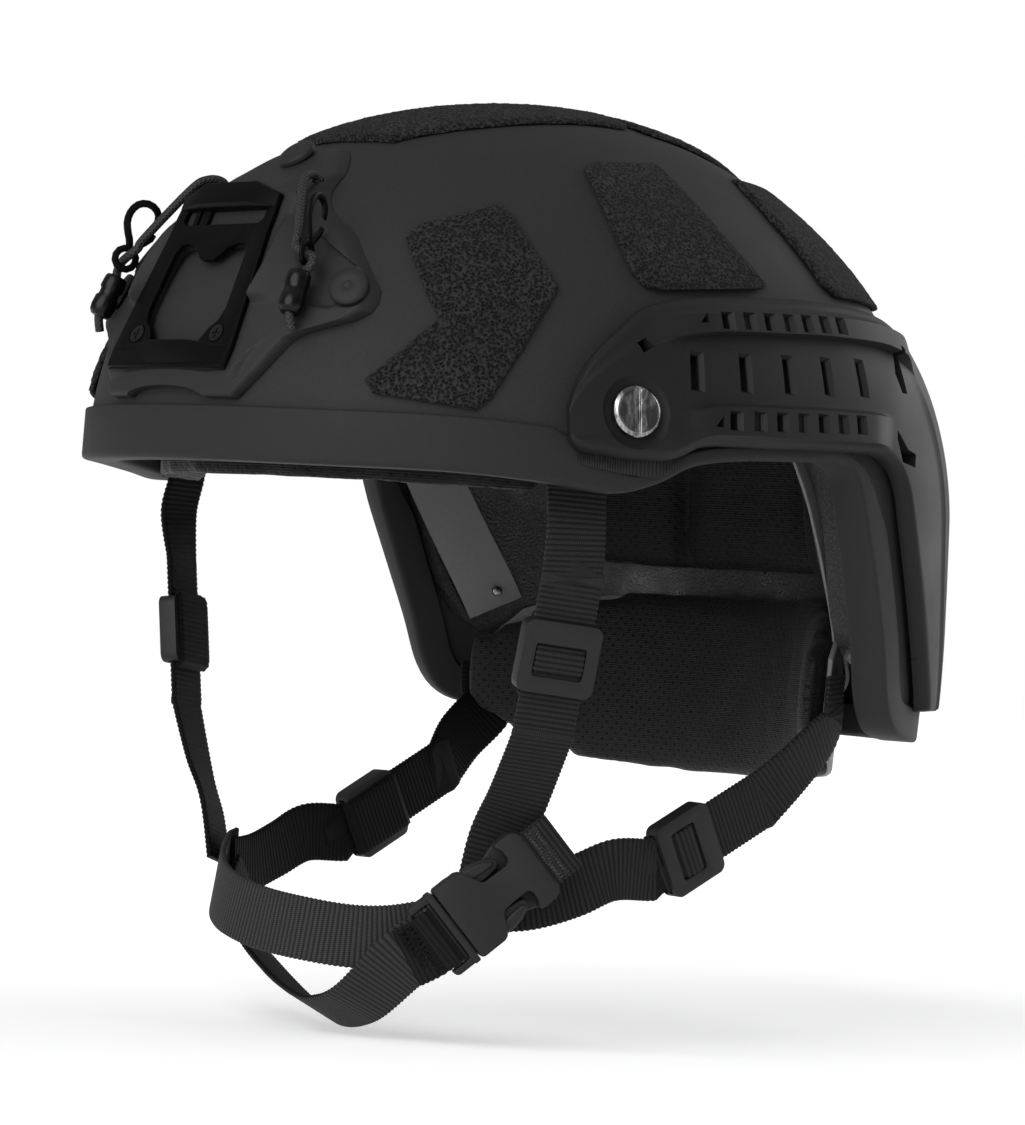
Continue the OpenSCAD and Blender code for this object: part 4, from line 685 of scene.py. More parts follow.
def trimRings():
    rings = []
    count = len(rim)
    gap, thick, thin = trim["gap"], trim["thick"], trim["round"]
    for i in range(count + 1):
        angle, z = rim[i % count]
        before, after = rim[(i - 1) % count], rim[(i + 1) % count]
        p, q = onShell(angle, z, 0), onShell(angle, z, -wall["thickness"])
        run = (onShell(*after, 0) - onShell(*before, 0)).normalized()
        face = wallNormal(angle, z)
        up = face.cross(run).normalized()
        p, q = p - up * gap, q - up * gap
        near = min(angle, 360 - angle)
        tall = trimLip(near)
        inner = max(3.0, trim["lip"] + 44 - near) if 44 < near < 102 else min(tall, trim["lip"])
        lean = 0.25 + inner * inner / 150
        t = gap + thick
        lip = [(gap, tall), (gap + thick * 0.55, tall), (gap + thick * 0.9, tall - 0.25), (t, tall - 0.7),
               (t, tall * 0.5)]
        bend = [(t, thin), (t - 0.1, -0.35), (t - 0.55, 0.25 - thick), (t - 1.2, -thick)]
        back = [(-t - lean * 0.5, inner * 0.5), (-t - lean, inner - 0.4), (-t - lean + 0.4, inner),
                (-gap - lean, inner), (-gap - lean * 0.5, inner * 0.5), (-gap, 0)]
        spots = [(p, *spot) for spot in lip + bend] + [(q, -h, u) for h, u in bend[::-1]]
        spots += [(q, *spot) for spot in back] + [(p, gap, 0)]
        rings.append([seated(base + face * h + up * u) for base, h, u in spots])
    return rings


finished(ringPiece("rimRubber", trimRings(), capped=False), "rim_trim", "trimRubber", smooth=50)
print("shell, liner and trim ready")

# loop patches
patch = {"under": 0.45, "thick": 1.6, "edge": 0.55, "roughness": 0.32, "ragged": 0.35, "edgeSpan": 2.5,
         "side": (96, 60), "crown": (110, 110)}
patchEdges = {
    "brow": ([(29.6, 70), (28.3, 66), (31, 57), (33.6, 48), (35.2, 43), (31.2, 33.5), (27.5, 24.5), (28.7, 21)],
             [(40, 78), (42.4, 75), (45.6, 67), (48.7, 59), (50.2, 55), (46.2, 37), (42.5, 21.5), (40.9, 18.2)]),
    "side": ([(56.5, 94.5), (54.6, 92), (57.3, 80), (59.6, 69), (61.2, 61.5), (63.4, 57.5), (65.5, 56.8)],
             [(73.5, 97), (75.5, 95), (80, 84), (84.2, 74), (87.7, 66.5), (89.2, 62.8), (87.6, 61.5)]),
    "rear": ([(107, 97), (104.5, 93.5), (103.6, 85), (105, 76), (106.8, 66), (109.5, 63)],
             [(130, 97), (134, 94), (138, 85), (141, 76), (143.5, 67), (141, 64)]),
}
crownEdges = {
    "crown_patch": [(9, -84), (22, -82), (29.2, -70), (34.6, -58), (37.8, -45), (39, -32), (39, -19), (39, -8),
                    (36, -4)],
    "rear_crown_patch": [(36, 3), (39, 7), (38.5, 20), (37, 34), (34, 47), (31, 58), (27, 62)],
}


def fuzz(point, size, depth):
    return noise.noise(point * size) * depth


def patchPiece(name, spotAt, rows, columns):
    # spotAt gives the point in millimetres for a row, a share across and an offset
    def height(row, column):
        inset = min(row, rows - row, column, columns - column) / patch["edgeSpan"]
        return mix(patch["under"] + patch["edge"], patch["under"] + patch["thick"], min(inset, 1.0) ** 0.6)

    def place(row, column, off):
        point = spotAt(row / rows, column / columns, off if off == patch["under"] else height(row, column))
        if off != patch["under"]:
            out = spotAt(row / rows, column / columns, off + 1) - spotAt(row / rows, column / columns, off)
            point = point + out.normalized() * (fuzz(point, 0.9, patch["roughness"])
                                                + fuzz(point, 2.6, patch["roughness"] * 0.6))
        if row in (0, rows) or column in (0, columns):
            point = point + Vector([fuzz(point, size, patch["ragged"]) for size in (1.1, 1.3, 1.7)])
        return seated(point)
    return wallPiece(name, rows, columns, place, patch["under"] + patch["thick"], patch["under"])


def lineAt(keys, share):
    at = min(share * (len(keys) - 1), len(keys) - 1.000001)
    i = int(at)
    return Vector(keys[i]).lerp(Vector(keys[i + 1]), at - i)


for kind, (front, back) in patchEdges.items():
    def sideSpot(share, across, off, front=front, back=back):
        key = lineAt(front, share).lerp(lineAt(back, share), across)
        return onShell(key.x, key.y, off)
    left = patchPiece(kind + "PatchLeft", sideSpot, *patch["side"])
    right = copied(left, kind + "PatchRight", flip=True)
    finished(left, "left_" + kind + "_patch", "loopFabric", smooth=60)
    finished(right, "right_" + kind + "_patch", "loopFabric", smooth=60)

for node, edge in crownEdges.items():
    def crownSpot(share, across, off, edge=edge):
        key = lineAt(edge, share)
        return overShell(key.x * (across * 2 - 1), key.y, off)
    finished(patchPiece(camel(node), crownSpot, *patch["crown"]), node, "loopFabric", smooth=60)
print("patches ready")

# rails
rail = {"under": 1.7, "hollow": 2.6, "web": 4.5, "flange": 3.0, "clear": 14.0, "boltSpot": (60.5, 20.5),
        "recess": (8.3, 10.7), "slotPitch": 16.5, "slotMid": 86.0, "slotRise": 0.115, "slot": (10.0, 3.2),
        "slotHeight": 34.8, "pocket": (4.6, 3.0), "pocketRows": ((47.7, 0.3), (21.4, 0.7))}
railLow = [
    (52.5, 11.5), (54, 9.2), (57, 8.6), (60.5, 8), (65.5, 8.4), (68.5, 10.5), (71.5, 13.4), (77, 14.4), (84, 15),
    (91, 15.8), (98, 16.4), (103, 16.8), (107, 16), (110, 12.8), (112, 7), (113.3, 0), (115, -8),
    (116.8, -16), (119, -25), (121.3, -34), (124, -43.5), (126.5, -51), (128, -56),
]
railHigh = [
    (52, 21), (53, 28), (55, 36), (59, 45), (62.5, 51), (67.5, 54.2), (73, 56), (79, 57.3), (86, 58.4),
    (93, 59.5), (100, 60), (107, 60.3), (114, 60), (120.5, 58), (124.5, 52), (126.8, 40), (128, 26),
    (129, 10), (130.5, -8), (132.5, -24), (135, -38), (137, -49), (137.5, -56),
]
railShares = [0, 0.008, 0.018, 0.03, 0.042, 0.052, 0.062, 0.075, 0.09, 0.12, 0.16, 0.21, 0.25, 0.263, 0.275,
              0.287, 0.3, 0.33, 0.38, 0.44, 0.5, 0.56, 0.62, 0.68, 0.72, 0.736, 0.744, 0.75, 0.757, 0.764,
              0.772, 0.786, 0.815, 0.85, 0.88, 0.893, 0.906, 0.92, 0.935, 0.95, 0.965, 0.978, 0.988, 0.995, 1]


def within(value, a, b, c, d):
    # 1 between b and c, fading to 0 at a and d
    return ramp(value, a, b) * (1 - ramp(value, c, d))


def dome(share):
    # quarter round that rises from 0 to 1 over the share
    return math.sqrt(1 - (1 - min(max(share, 0.0), 1.0)) ** 2)


def railHeight(share, station, span):
    # the web with its raised lower and upper bands, sunk cheek, raised nose and leg
    height = mix(rail["under"] + 0.6, rail["under"] + rail["web"], dome(min(share, 1 - share) * span / 3.2))
    lower = within(share, 0.045, 0.078, 0.262, 0.29) * within(station, 4.6, 6.4, 10.6, 12.2)
    upper = within(share, 0.744, 0.764, 0.89, 0.93) * within(station, 3.8, 6.0, 12.6, 14.0)
    nose = within(share, 0.02, 0.07, 0.16, 0.21) * within(station, 0.2, 1.2, 4.2, 6.0)
    cheek = within(share, 0.78, 0.84, 0.97, 0.99) * within(station, 0.5, 1.5, 3.6, 5.6)
    leg = ramp(station, 13.0, 15.0) * within(share, 0.68, 0.74, 0.9, 0.97)
    return height + rail["flange"] * max(lower, upper) - 0.9 * cheek + 0.9 * nose + 0.7 * leg


def railHollow(share, station):
    # depth of the hollow behind the web, so that the slots open into the dark
    return rail["hollow"] * within(share, 0.1, 0.16, 0.84, 0.9) * within(station, 4.5, 6, 12, 14)


def railPiece():
    steps = 7
    low, high = smoothLine(railLow, steps), smoothLine(railHigh, steps)
    count = len(low) - 1

    def place(row, column, off):
        share = railShares[column]
        key = low[row].lerp(high[row], share)
        if off is None:
            span = (onShell(*low[row], 0) - onShell(*high[row], 0)).length
            off = railHeight(share, row / steps, span)
            off = mix(rail["under"] + 0.8, off, dome(min(row, count - row) / steps / 0.35))
        else:
            off += railHollow(share, row / steps)
        return seated(onShell(key.x, key.y, off))

    piece = wallPiece("leftRailForm", count, len(railShares) - 1, place, None, rail["under"])
    face = rail["under"] + rail["web"]
    crest = face + rail["flange"]
    cutters = []

    def cut(angle, z, outline, floorAt, start=None, flare=0.0, turn=0.0):
        # hole or pocket; the flare widens its mouth, most on the side towards the rear
        down, along, out = wallAxes(angle, z)
        s, c = turned(turn)
        wide = [(x * (1 + flare / 4), y + (flare * 1.5 if y > 0 else -flare * 0.4)) for x, y in outline]
        layers = [(floorAt, outline)]
        if start is not None:
            layers += [(max(start - 1.3, floorAt + 0.1), outline), (start + 0.05, wide)]
        cutters.append(stackPiece("cut", onShell(angle, z, 0), (down * c + along * s, along * c - down * s, out),
                                  layers + [(rail["clear"], wide)]))

    def rowHeight(z, angle):
        return z + (angle - rail["slotMid"]) * rail["slotRise"]

    step = math.degrees(rail["slotPitch"] / wall["halfWidth"])
    for i in range(-2, 3):
        angle = rail["slotMid"] + i * step
        cut(angle, rowHeight(rail["slotHeight"], angle), oblong(*rail["slot"]), 0.0, face, 0.8, -2)
    for i in range(-3, 4):
        for z, shift in rail["pocketRows"]:
            angle = rail["slotMid"] + shift + i * step * 0.485
            cut(angle, rowHeight(z, angle), oblong(*rail["pocket"]), crest - 1.8 if i % 2 == 0 else 0.0, crest, 0.9)
    for angle, z in ((70.2, 46.4), (72.0, 19.6)):
        cut(angle, z, [(-1.6, 1.4), (1.6, -1.2), (1.7, 1.4)], face + 0.6)
    cut(61.5, 38.4, oblong(3.2, 3.2), 0.0, face, 0.35, 32)
    cut(115.0, 40.5, [(-7.4, 0.8), (1.0, -3.0), (6.8, -1.4), (6.8, 2.2), (-6.4, 2.8)], 0.0)
    cut(112.2, 18.2, [(-6.0, -3.8), (-3.4, -4.6), (3.4, -2.6), (4.4, 5.4), (0.4, 6.6), (-0.6, 1.6)], 0.0)
    for angle, z in ((114.4, -12), (118.2, -27.5), (122.6, -42)):
        cut(angle, z, oblong(3.4, 3.4), 0.0)
    for i in range(5):
        cut(129.6 + i * 1.35, 8 - i * 11.0, oblong(6.4, 3.4), face - 1.6, face, 0.8)
    inner, outer = rail["recess"]
    cutters.append(boredPiece(*rail["boltSpot"], [
        (3.2, 0), (3.2, face - 1.6), (inner, face - 1.6), (inner + 0.8, face - 1.35), (outer, face + 0.2),
        (outer, rail["clear"])]))
    return cutBy(piece, *cutters)


leftRail = railPiece()
for piece, node in ((leftRail, "left_rail"), (copied(leftRail, "rightRailForm", flip=True), "right_rail")):
    finished(piece, node, "railPolymer", smooth=32)

gasket = {"low": [(53.1, 13.3), (54.6, 10.6), (57.6, 9.4), (61.1, 8.6), (66.1, 8.8), (69.1, 11.6)],
          "high": [(52.9, 18.5), (54.2, 16.2), (57.2, 15.6), (60.7, 15), (65.7, 15.4), (68.7, 17.5)],
          "reach": 4.6, "face": 2.5, "foot": 1.4, "ribs": 46, "rib": 0.28}


def gasketPiece(name):
    low = [Vector(key) + Vector((0, -gasket["reach"])) * (1 if 0 < i < 5 else 0.4)
           for i, key in enumerate(gasket["low"])]
    low, high = smoothLine(low, 60), smoothLine(gasket["high"], 60)
    last = len(low) - 1

    def place(row, column, off):
        key = low[row].lerp(high[row], column / 10)
        if off == gasket["face"]:
            edge = min(column, 1.5) / 1.5
            rib = gasket["rib"] * math.cos(2 * math.pi * gasket["ribs"] * row / last)
            off += (rib - 0.5) * edge - 0.4 * (1 - edge)
        return seated(onShell(key.x, key.y, off))
    return wallPiece(name, last, 10, place, gasket["face"], gasket["foot"])


gaskets = gasketPiece("railGasketStrips")
finished(joined(gaskets, copied(gaskets, "rightGasket", flip=True)), "rail_gaskets", "trimRubber", smooth=60)
print("rails ready", len(leftRail.data.polygons))

# shroud: a moulded base whose facets carry the insert
shroud = {
    # outline as height and half width, from the skirt to the top of the lobe
    "edge": [(17.6, 27.6), (21.4, 31.2), (26, 34.8), (31, 38.2), (35, 41), (37.2, 45), (39, 50), (41, 55),
             (43.4, 57.8), (46.5, 58.4), (50, 57.4), (54, 54), (58, 50.4), (62, 46.6), (65.5, 43.4), (68, 39.6),
             (70.5, 35), (73, 31), (76, 27.4), (79, 24.8), (82, 23.6), (85, 22.6), (88, 19.8), (91, 16.2),
             (93.6, 11.6)],
    # ridge beside the insert: height and distance from the middle
    "ridge": [(17, 28.6), (26, 29), (30, 31), (35, 35.4), (40, 41.5), (43.6, 44.5), (45.2, 26)],
    "cheek": [(44, 26.2), (50, 27.6), (56, 28.4), (63, 27.6), (70, 26), (78, 22.6)],
    "face": 3.7, "cheekRise": 4.3, "cheekFall": 7.5, "gap": 0.3, "lip": 1.5, "slope": 0.3, "fall": 2.0,
    "arch": (17.6, 3.4),
    "foot": (141.3, 26.0), "lean": 21.8, "plate": 1.6, "top": 78.5,
    # half width of the insert's seat at the foot and 50 mm above it; the lobe's face and fall above the top
    "seat": (28.2, 21.9, 50), "lobeFace": 2.5, "lobeFall": 1.9, "rounding": 1.6,
    "recess": [(34.5, 66.5), (38, 44.6), (49.4, 43.9), (55.4, 46.4), (55.8, 50.4), (50.6, 57)], "recessDepth": 2.3,
    "rows": 132, "columns": 168,
}


def valueAt(keys, at):
    if at <= keys[0][0]:
        return keys[0][1]
    for (a, x), (b, y) in zip(keys, keys[1:]):
        if at <= b:
            return mix(x, y, (at - a) / (b - a))
    return keys[-1][1]


def shellAhead(x, z, off):
    # how far the wall's face lies ahead of the ear line at a place seen from in front
    angle = 0.0
    for _ in range(8):
        reach = planReach(angle, off) * rise(angle, z, off)
        angle = math.degrees(math.asin(max(-0.99, min(0.99, x / max(reach, 1e-6)))))
    s, c = turned(angle)
    return planReach(angle, off) * rise(angle, z, off) * c


def insertAhead(z):
    ahead, low = shroud["foot"]
    lean = math.radians(shroud["lean"])
    return ahead - (z - low) * math.tan(lean) - (shroud["plate"] + 0.15) / math.cos(lean)


def insideBy(point, corners):
    # how far a point lies inside a convex outline; below zero outside it
    return min(((b[0] - a[0]) * (point[1] - a[1]) - (b[1] - a[1]) * (point[0] - a[0]))
               / math.hypot(b[0] - a[0], b[1] - a[1]) for a, b in zip(corners, corners[1:] + corners[:1]))


def shroudFace(x, z, half):
    x = abs(x)
    foot, (wide, narrow, tall) = shroud["foot"][1], shroud["seat"]
    wing = shellAhead(x, z, mix(shroud["face"], shroud["lobeFace"], ramp(z, 80, 88)))
    seat = mix(wide, narrow, min(max((z - foot) / tall, 0), 1))
    plane = insertAhead(max(z, foot))
    if x > 30:
        wing -= shroud["recessDepth"] * ramp(insideBy((x, z), shroud["recess"]), 0.0, 0.6)
    cheek = valueAt(shroud["cheek"], z)
    share = (x - seat) / max(cheek - seat, 1) if x < cheek else 1 - (x - cheek) / shroud["cheekFall"]
    swell = shroud["cheekRise"] * ramp(z, 44, 48) * (1 - ramp(z, 66, 79)) * min(max(share, 0), 1)
    ridge = max(valueAt(shroud["ridge"], z), seat)
    block = plane - shroud["slope"] * max(0.0, min(x, ridge) - seat) - shroud["fall"] * max(0.0, x - ridge)
    if z > shroud["top"]:
        block = insertAhead(shroud["top"]) - (z - shroud["top"]) * shroud["lobeFall"] - 0.5 * max(0, x - 14)
    if z < foot:
        skirt = shellAhead(x, z, 0.9)
        block = mix(skirt, max(block, skirt), ramp(z, 17.0, 26.6) ** 0.8)
    face = plane if x < seat and foot < z < 77 else max(wing + swell, block)
    rim = min(half - x, z - shroud["edge"][0][0], shroud["edge"][-1][0] - z)
    edge = shellAhead(x, z, shroud["gap"] + (shroud["lip"] if z > 24 else 0.5))
    return mix(edge, face, dome(rim / shroud["rounding"]))


def shroudPiece():
    rows, columns = shroud["rows"], shroud["columns"]
    low, high = shroud["edge"][0][0], shroud["edge"][-1][0]
    archHalf, archRise = shroud["arch"]
    faces = {}

    def spotAt(row, column):
        z = mix(low, high, row / rows)
        half = valueAt(shroud["edge"], z)
        x = half * (2 * column / columns - 1)
        lift = archRise * math.sqrt(max(0.0, 1 - (x / archHalf) ** 2)) if abs(x) < archHalf else 0.0
        return x, z + lift * max(0.0, 1 - (z - low) / 6.5), half

    for row in range(rows + 1):
        for column in range(columns + 1):
            faces[row, column] = shroudFace(*spotAt(row, column))
    # eases the ridges as a mould does
    faces = {(r, c): faces[r, c] if r in (0, rows) or c in (0, columns) else
             0.52 * faces[r, c] + 0.12 * (faces[r - 1, c] + faces[r + 1, c] + faces[r, c - 1] + faces[r, c + 1])
             for r, c in faces}

    def place(row, column, off):
        x, z, half = spotAt(row, column)
        return seated((x, -(faces[row, column] if off else shellAhead(x, z, shroud["gap"])), z))

    angle, z = lanyard["hole"]
    window = prism("cut", insertSpot, insertAxes, (-16, 9), roundBox(37, 32.6, 3, 3, (0, 23.4)))
    recesses = [boredPiece(*bolts["wing"], bolts["recess"]) for _ in range(2)]
    holes = [boredPiece(a, z, lanyard["bore"], 24) for a in (angle, -angle)]
    return cutBy(wallPiece("shroudForm", rows, columns, place, 1, 0), window, recesses[0], flipped(recesses[1]),
                 *holes)


bolts = {"wing": (23.5, 49), "spots": ((23.5, 49, 0), (-23.5, 49, 0), (0, 88.8, 7)), "radius": 5.75,
         "seat": (2.2, 2.9), "recess": [(2.6, -1), (2.6, 2.3), (6.2, 2.3), (7.0, 2.6), (7.2, 9)]}
lean = math.radians(shroud["lean"])
insertSpot = Vector((0, -shroud["foot"][0], shroud["foot"][1]))
insertAxes = (Vector((1, 0, 0)), Vector((0, math.sin(lean), math.cos(lean))),
              Vector((0, -math.cos(lean), math.sin(lean))))
finished(shroudPiece(), "shroud_base", "shroudPolymer", smooth=24)

insert = {
    "low": 26.0, "high": 20.4, "screw": (18.2, 10.6),
    "window": [(11, 8.2), (13.4, 12.4), (16.4, 14.8), (17.6, 18.5), (16.4, 36), (14.6, 39.2), (11.5, 39.4),
               (7.4, 38.2), (3.6, 34.6), (2.2, 34.0)],
    "slot": [(16.6, 45.6), (18.4, 47), (18.2, 51.2), (15.6, 52.2)],
}


def crossBar(name, stations):
    # bar across the insert; a station is its distance from the middle and its section
    return ringPiece(name, [[seated(insertSpot + insertAxes[0] * x + insertAxes[1] * y + insertAxes[2] * h)
                             for y, h in section] for x, section in stations])


def insertPiece():
    w, v, t = insert["low"], insert["high"], shroud["plate"]
    outline = mirrored([(w + 0.6, 0.4), (w + 1, 6), (mix(w, v, 0.35) + 1.6, 18), (mix(w, v, 0.7) + 1.5, 34),
                        (v + 1.8, 44), (v + 1.8, 48), (v + 1.2, 53), (v, 54.4)])
    plate = prism("shroudInsertFrame", insertSpot, insertAxes, (-t, 0), outline)
    x, y = insert["screw"]
    cutBy(plate,
          *[prism("cut", insertSpot, insertAxes, (-4, 4), mirrored(insert[hole])) for hole in ("window", "slot")],
          *[turnedPiece("cut", insertSpot + insertAxes[0] * x * side + insertAxes[1] * y, insertAxes,
                        [(1.6, -4), (1.6, -0.6), (2.75, -0.6), (2.75, 4)], 32) for side in (1, -1)])
    rounded(plate, 0.3)
    low = [(-0.4, -t), (7.6, -t), (7.6, 2.4), (6.6, 2.9), (0.6, -0.5), (-0.4, -1.0)]
    flat = [(-0.4, -t), (7.6, -t), (7.2, 0.1), (6.4, 0.15), (0.6, -0.7), (-0.4, -1.0)]
    lowBar = crossBar("lowBar", [(-26.6, flat), (-20, flat), (-8.4, low), (8.4, low), (20, flat), (26.6, flat)])
    high = [(50.4, -t), (58.6, -t), (58.6, 0.8), (57.8, 2.4), (51.2, 2.6), (50.4, 1.4)]
    end = [(50.6, -t), (55.0, -t), (55.0, 0.1), (54.4, 0.3), (51.4, 0.3), (50.6, 0.2)]
    highBar = crossBar("highBar", [(-21.6, end), (-11.6, high), (11.6, high), (21.6, end)])
    for bar in (lowBar, highBar):
        rounded(bar, 0.28, angle=24)
    posts = [rounded(prism("post", insertSpot, insertAxes, (-3.2, -0.3), roundBox(wide, 8.4, 0.5, 2, (x, 48.4))), 0.25)
             for x, wide in ((-13.2, 1.8), (-9.2, 3.4))]
    return joined(plate, lowBar, highBar, *posts)


finished(insertPiece(), "shroud_insert", "insertPolymer", smooth=32)

def boltPiece(angle, z, tilt):
    down, along, out = wallAxes(angle, z)
    s, c = turned(tilt)
    h, r = bolts["seat"][angle == 0], bolts["radius"]
    return turnedPiece("shroudBoltHead", onShell(angle, z, 0), (down * c - out * s, along, out * c + down * s), [
        (2.5, -8), (2.5, h), (r - 0.5, h), (r, h + 0.5), (r, h + 1.3), (r - 0.18, h + 1.75), (r - 0.7, h + 2.15),
        (r - 2.2, h + 2.5), (1.75, h + 2.65), (1.5, h + 2.5), (1.25, h + 2.5), (1.0, h + 2.75), (0.5, h + 2.8)])


heads = [boltPiece(*spot) for spot in bolts["spots"]]
finished(joined(*heads), "shroud_bolts", "shroudPolymer", smooth=40)

# lanyards: crimped ferrules and flat clips
ferrule = {"height": 7.9, "waist": (-1.8, 0.6, 0.9),
           "profile": [(-6.4, 2.4), (-6.2, 3.0), (-5.4, 3.35), (-2.4, 3.5), (-1.6, 3.28), (0.0, 3.25), (0.8, 3.5),
                       (3.6, 3.6), (5.2, 3.3), (6.2, 2.6), (6.4, 2.0)]}
for word, side in sides.items():
    down, along, out = wallAxes(*lanyard["ferrule"])
    origin = onShell(*lanyard["ferrule"], 0) + out * ferrule["height"]
    low, high, pinch = ferrule["waist"]
    rings = [[seated(origin + down * y + (along * c * r + out * s * r * (pinch if low < y < high else 1)), side)
              for s, c in circle(40)] for y, r in ferrule["profile"]]
    finished(ringPiece(word + "CrimpedFerrule", rings), word + "_ferrule", "ferrulePolymer", smooth=50)
print("shroud ready")

# pieces that keep the solid's own shape, edges rounded
softened = {
    # finish, width of the rounding, steps
    "insert_screws": ("screwBlack", 0.12, 2), "shroud_nuts": ("blackSteel", 0.3, 2),
    "rail_bolts": ("bareSteel", 0.45, 3), "strap_anchors": ("blackSteel", 0.3, 2),
    "rail_nuts": ("blackSteel", 0.3, 2), "fit_arm_screws": ("bareSteel", 0.3, 2),
    "dial_housing": ("dialPlastic", 0.5, 2), "fit_dial": ("dialPlastic", 0.4, 2),
    "nape_cradle": ("armPlastic", 0.3, 2),
}
for node, (finish, width, steps) in softened.items():
    finished(rounded(copied(frame["nodes"][node], node + "Form"), width, steps), node, finish)
print("hard pieces ready")

# webbing and flat strips
webbing = {"width": 18.0, "thick": 1.5, "pitch": 1.5, "rib": 0.17, "notch": 0.28, "step": 0.225,
           "plainStep": 1.6, "fine": 24, "innerMap": 30}


def bandLine(path, outs, spacing):
    # the band's middle line and the ways that its outer face looks, evenly spaced in millimetres
    line, faces = smoothLine(path, webbing["fine"]), smoothLine(outs, webbing["fine"])
    lengths = lengthsOf(line)
    count = max(4, round(lengths[-1] / spacing))
    points, looksOut = [], []
    i = 0
    for k in range(count + 1):
        at = lengths[-1] * k / count
        while i < len(lengths) - 2 and lengths[i + 1] < at:
            i += 1
        share = (at - lengths[i]) / max(lengths[i + 1] - lengths[i], 1e-9)
        points.append(line[i].lerp(line[i + 1], share))
        looksOut.append(faces[i].lerp(faces[i + 1], share))
    return points, looksOut


def bandPiece(name, path, outs, side=1, width=webbing["width"], thick=webbing["thick"], ribbed=True, across=12):
    # webbing has ribs and notched edges; a plain band fills only the outer half of its thickness
    points, faces = bandLine(path, outs, webbing["step" if ribbed else "plainStep"])
    rings, lengths = [], lengthsOf(points)
    half = width / 2
    section = [(-half + 0.35 + (width - 0.7) * k / across, 1) for k in range(across + 1)]
    section += [(half - 0.08, 0.62), (half, 0.0), (half - 0.08, -0.62)]
    section += [(x, -y) for x, y in section[across::-1]]
    section += [(-half + 0.08, -0.62), (-half, 0.0), (-half + 0.08, 0.62)]
    for point, run, face, at in zip(points, runsOf(points), faces, lengths):
        sideways = run.cross(face).normalized()
        out = sideways.cross(run)
        wave = 0.5 + 0.5 * math.cos(2 * math.pi * at / webbing["pitch"])
        lift = thick / 2 - webbing["rib"] * 0.5 + wave * webbing["rib"]
        ring = []
        for x, y in section:
            notch = webbing["notch"] * (1 - wave) * max(0.0, abs(x) / half - 0.9) * 10 if ribbed else 0.0
            height = y * lift if ribbed else abs(y) * thick / 2
            ring.append(seated(point + sideways * (x - math.copysign(notch, x)) + out * height, side))
        rings.append(ring)

    def uvPlace(row, column):
        x, y = section[column % len(section)]
        return lengths[row] * mm, (x + (0 if y >= 0 else webbing["innerMap"])) * mm
    return ringPiece(name, rings, uvPlace)


def u(*values):
    return Vector(values).normalized()


frontSlider = {"at": Vector((85, -61.5, -47.6)), "run": u(-3.6, 0, -20), "out": u(0.9, -0.43, -0.16)}
rearSlider = {"at": Vector((70.9, 6.9, -100.3)), "run": u(-1.2, -24, -13), "out": u(0.995, -0.05, -0.02)}
# straight run beside a slider, height of the jaw, and the fold round the anchor's bar
straight = 21.0
jaw = -113.0
fold = {"off": -13.9, "bar": 12.3, "ahead": -8.0}
strapTop = (60.5, 20.5)


def frontStrap(tuck):
    # tuck draws the strap's lower end in towards the buckle
    def spot(x, h):
        return wallSpot(*strapTop, x, fold["ahead"], h)
    n, up, x0, off = wallNormal(*strapTop), Vector((0, 0, 1)), fold["bar"], fold["off"]
    at, run, out = frontSlider["at"], frontSlider["run"], -frontSlider["out"]
    b, d = at - run * straight, at + run * straight
    path = [spot(19.5, off + 0.5), spot(x0 + 3.6, off + 1.65), spot(x0, off + 1.7), spot(x0 - 1.2, off + 1.2),
            spot(x0 - 1.7, off), spot(x0 - 1.2, off - 1.2), spot(x0, off - 1.7), spot(20, off - 1.7),
            spot(30, off - 1.4), b - run * 2, b, at, d, d + run * 2,
            (73 - 5.5 * tuck, -61 + 4.2 * tuck, 25 + jaw), (66 - 6 * tuck, -60.5 + 4.4 * tuck, 12.5 + jaw),
            (60.8 - tuck, -60.6 + 1.3 * tuck, jaw - 3)]
    low = -u(0.85, -0.52, 0)
    outs = [n, n, n, (n + up).normalized(), up, (up - n).normalized(), -n, -n, -n, out, out, out, out, out,
            -u(0.88, -0.47, 0), low, low]
    return path, outs


def rearStrap(footZ):
    off = -21.2
    at, run, out = rearSlider["at"], rearSlider["run"], rearSlider["out"]
    foot = onShell(126.5, footZ, off)
    b, d = at - run * (straight + 10), at + run * 11.5
    path = [onShell(126.2, footZ + 15, off), onShell(126.5, footZ + 7, off), foot,
            foot.lerp(b, 0.5) + Vector((1.5, 0, 0)), b - run * 2, b, at, d, d + run * 2, (69.9, -20, 6 + jaw),
            (67.5, -33, 0.8 + jaw), (63.4, -45.6, jaw - 3.2), (58.4, -57.2, jaw - 4.5)]
    top = wallNormal(126.5, -50)
    outs = [top, top, top, (top + out).normalized(), out, out, out, out, out, (1, 0, 0), u(0.98, -0.2, 0),
            u(0.92, -0.38, 0), u(0.85, -0.52, 0)]
    return path, outs


clasp = {"at": Vector((64, -63.3, -117.2)), "axis": u(0.391, 0.638, 0.665), "length": 38.0}
clasp["out"] = clasp["axis"].cross(Vector((0.85, -0.52, 0))).cross(clasp["axis"]).normalized()
clasp["side"] = clasp["axis"].cross(clasp["out"])


def atClasp(y, h, x=0.0):
    return clasp["at"] + clasp["axis"] * y + clasp["out"] * h + clasp["side"] * x


def chinUpper():
    path = [(-63.5, -52.5, jaw - 1.5), (-60.5, -58, jaw - 2.8), (-50, -68, jaw - 4.9), (-38, -78.5, jaw - 7.4),
            (-25, -87.5, jaw - 9.8), (-11, -94, jaw - 12), (4, -95.4, jaw - 14.5), (20, -93, jaw - 16),
            (32.6, -86, jaw - 17), (41.9, -78.9, jaw - 16.3), (48.9, -70.5, jaw - 14)]
    return path, [u(x / 75, (y + 25) / 70, 0.1) for x, y, z in path]


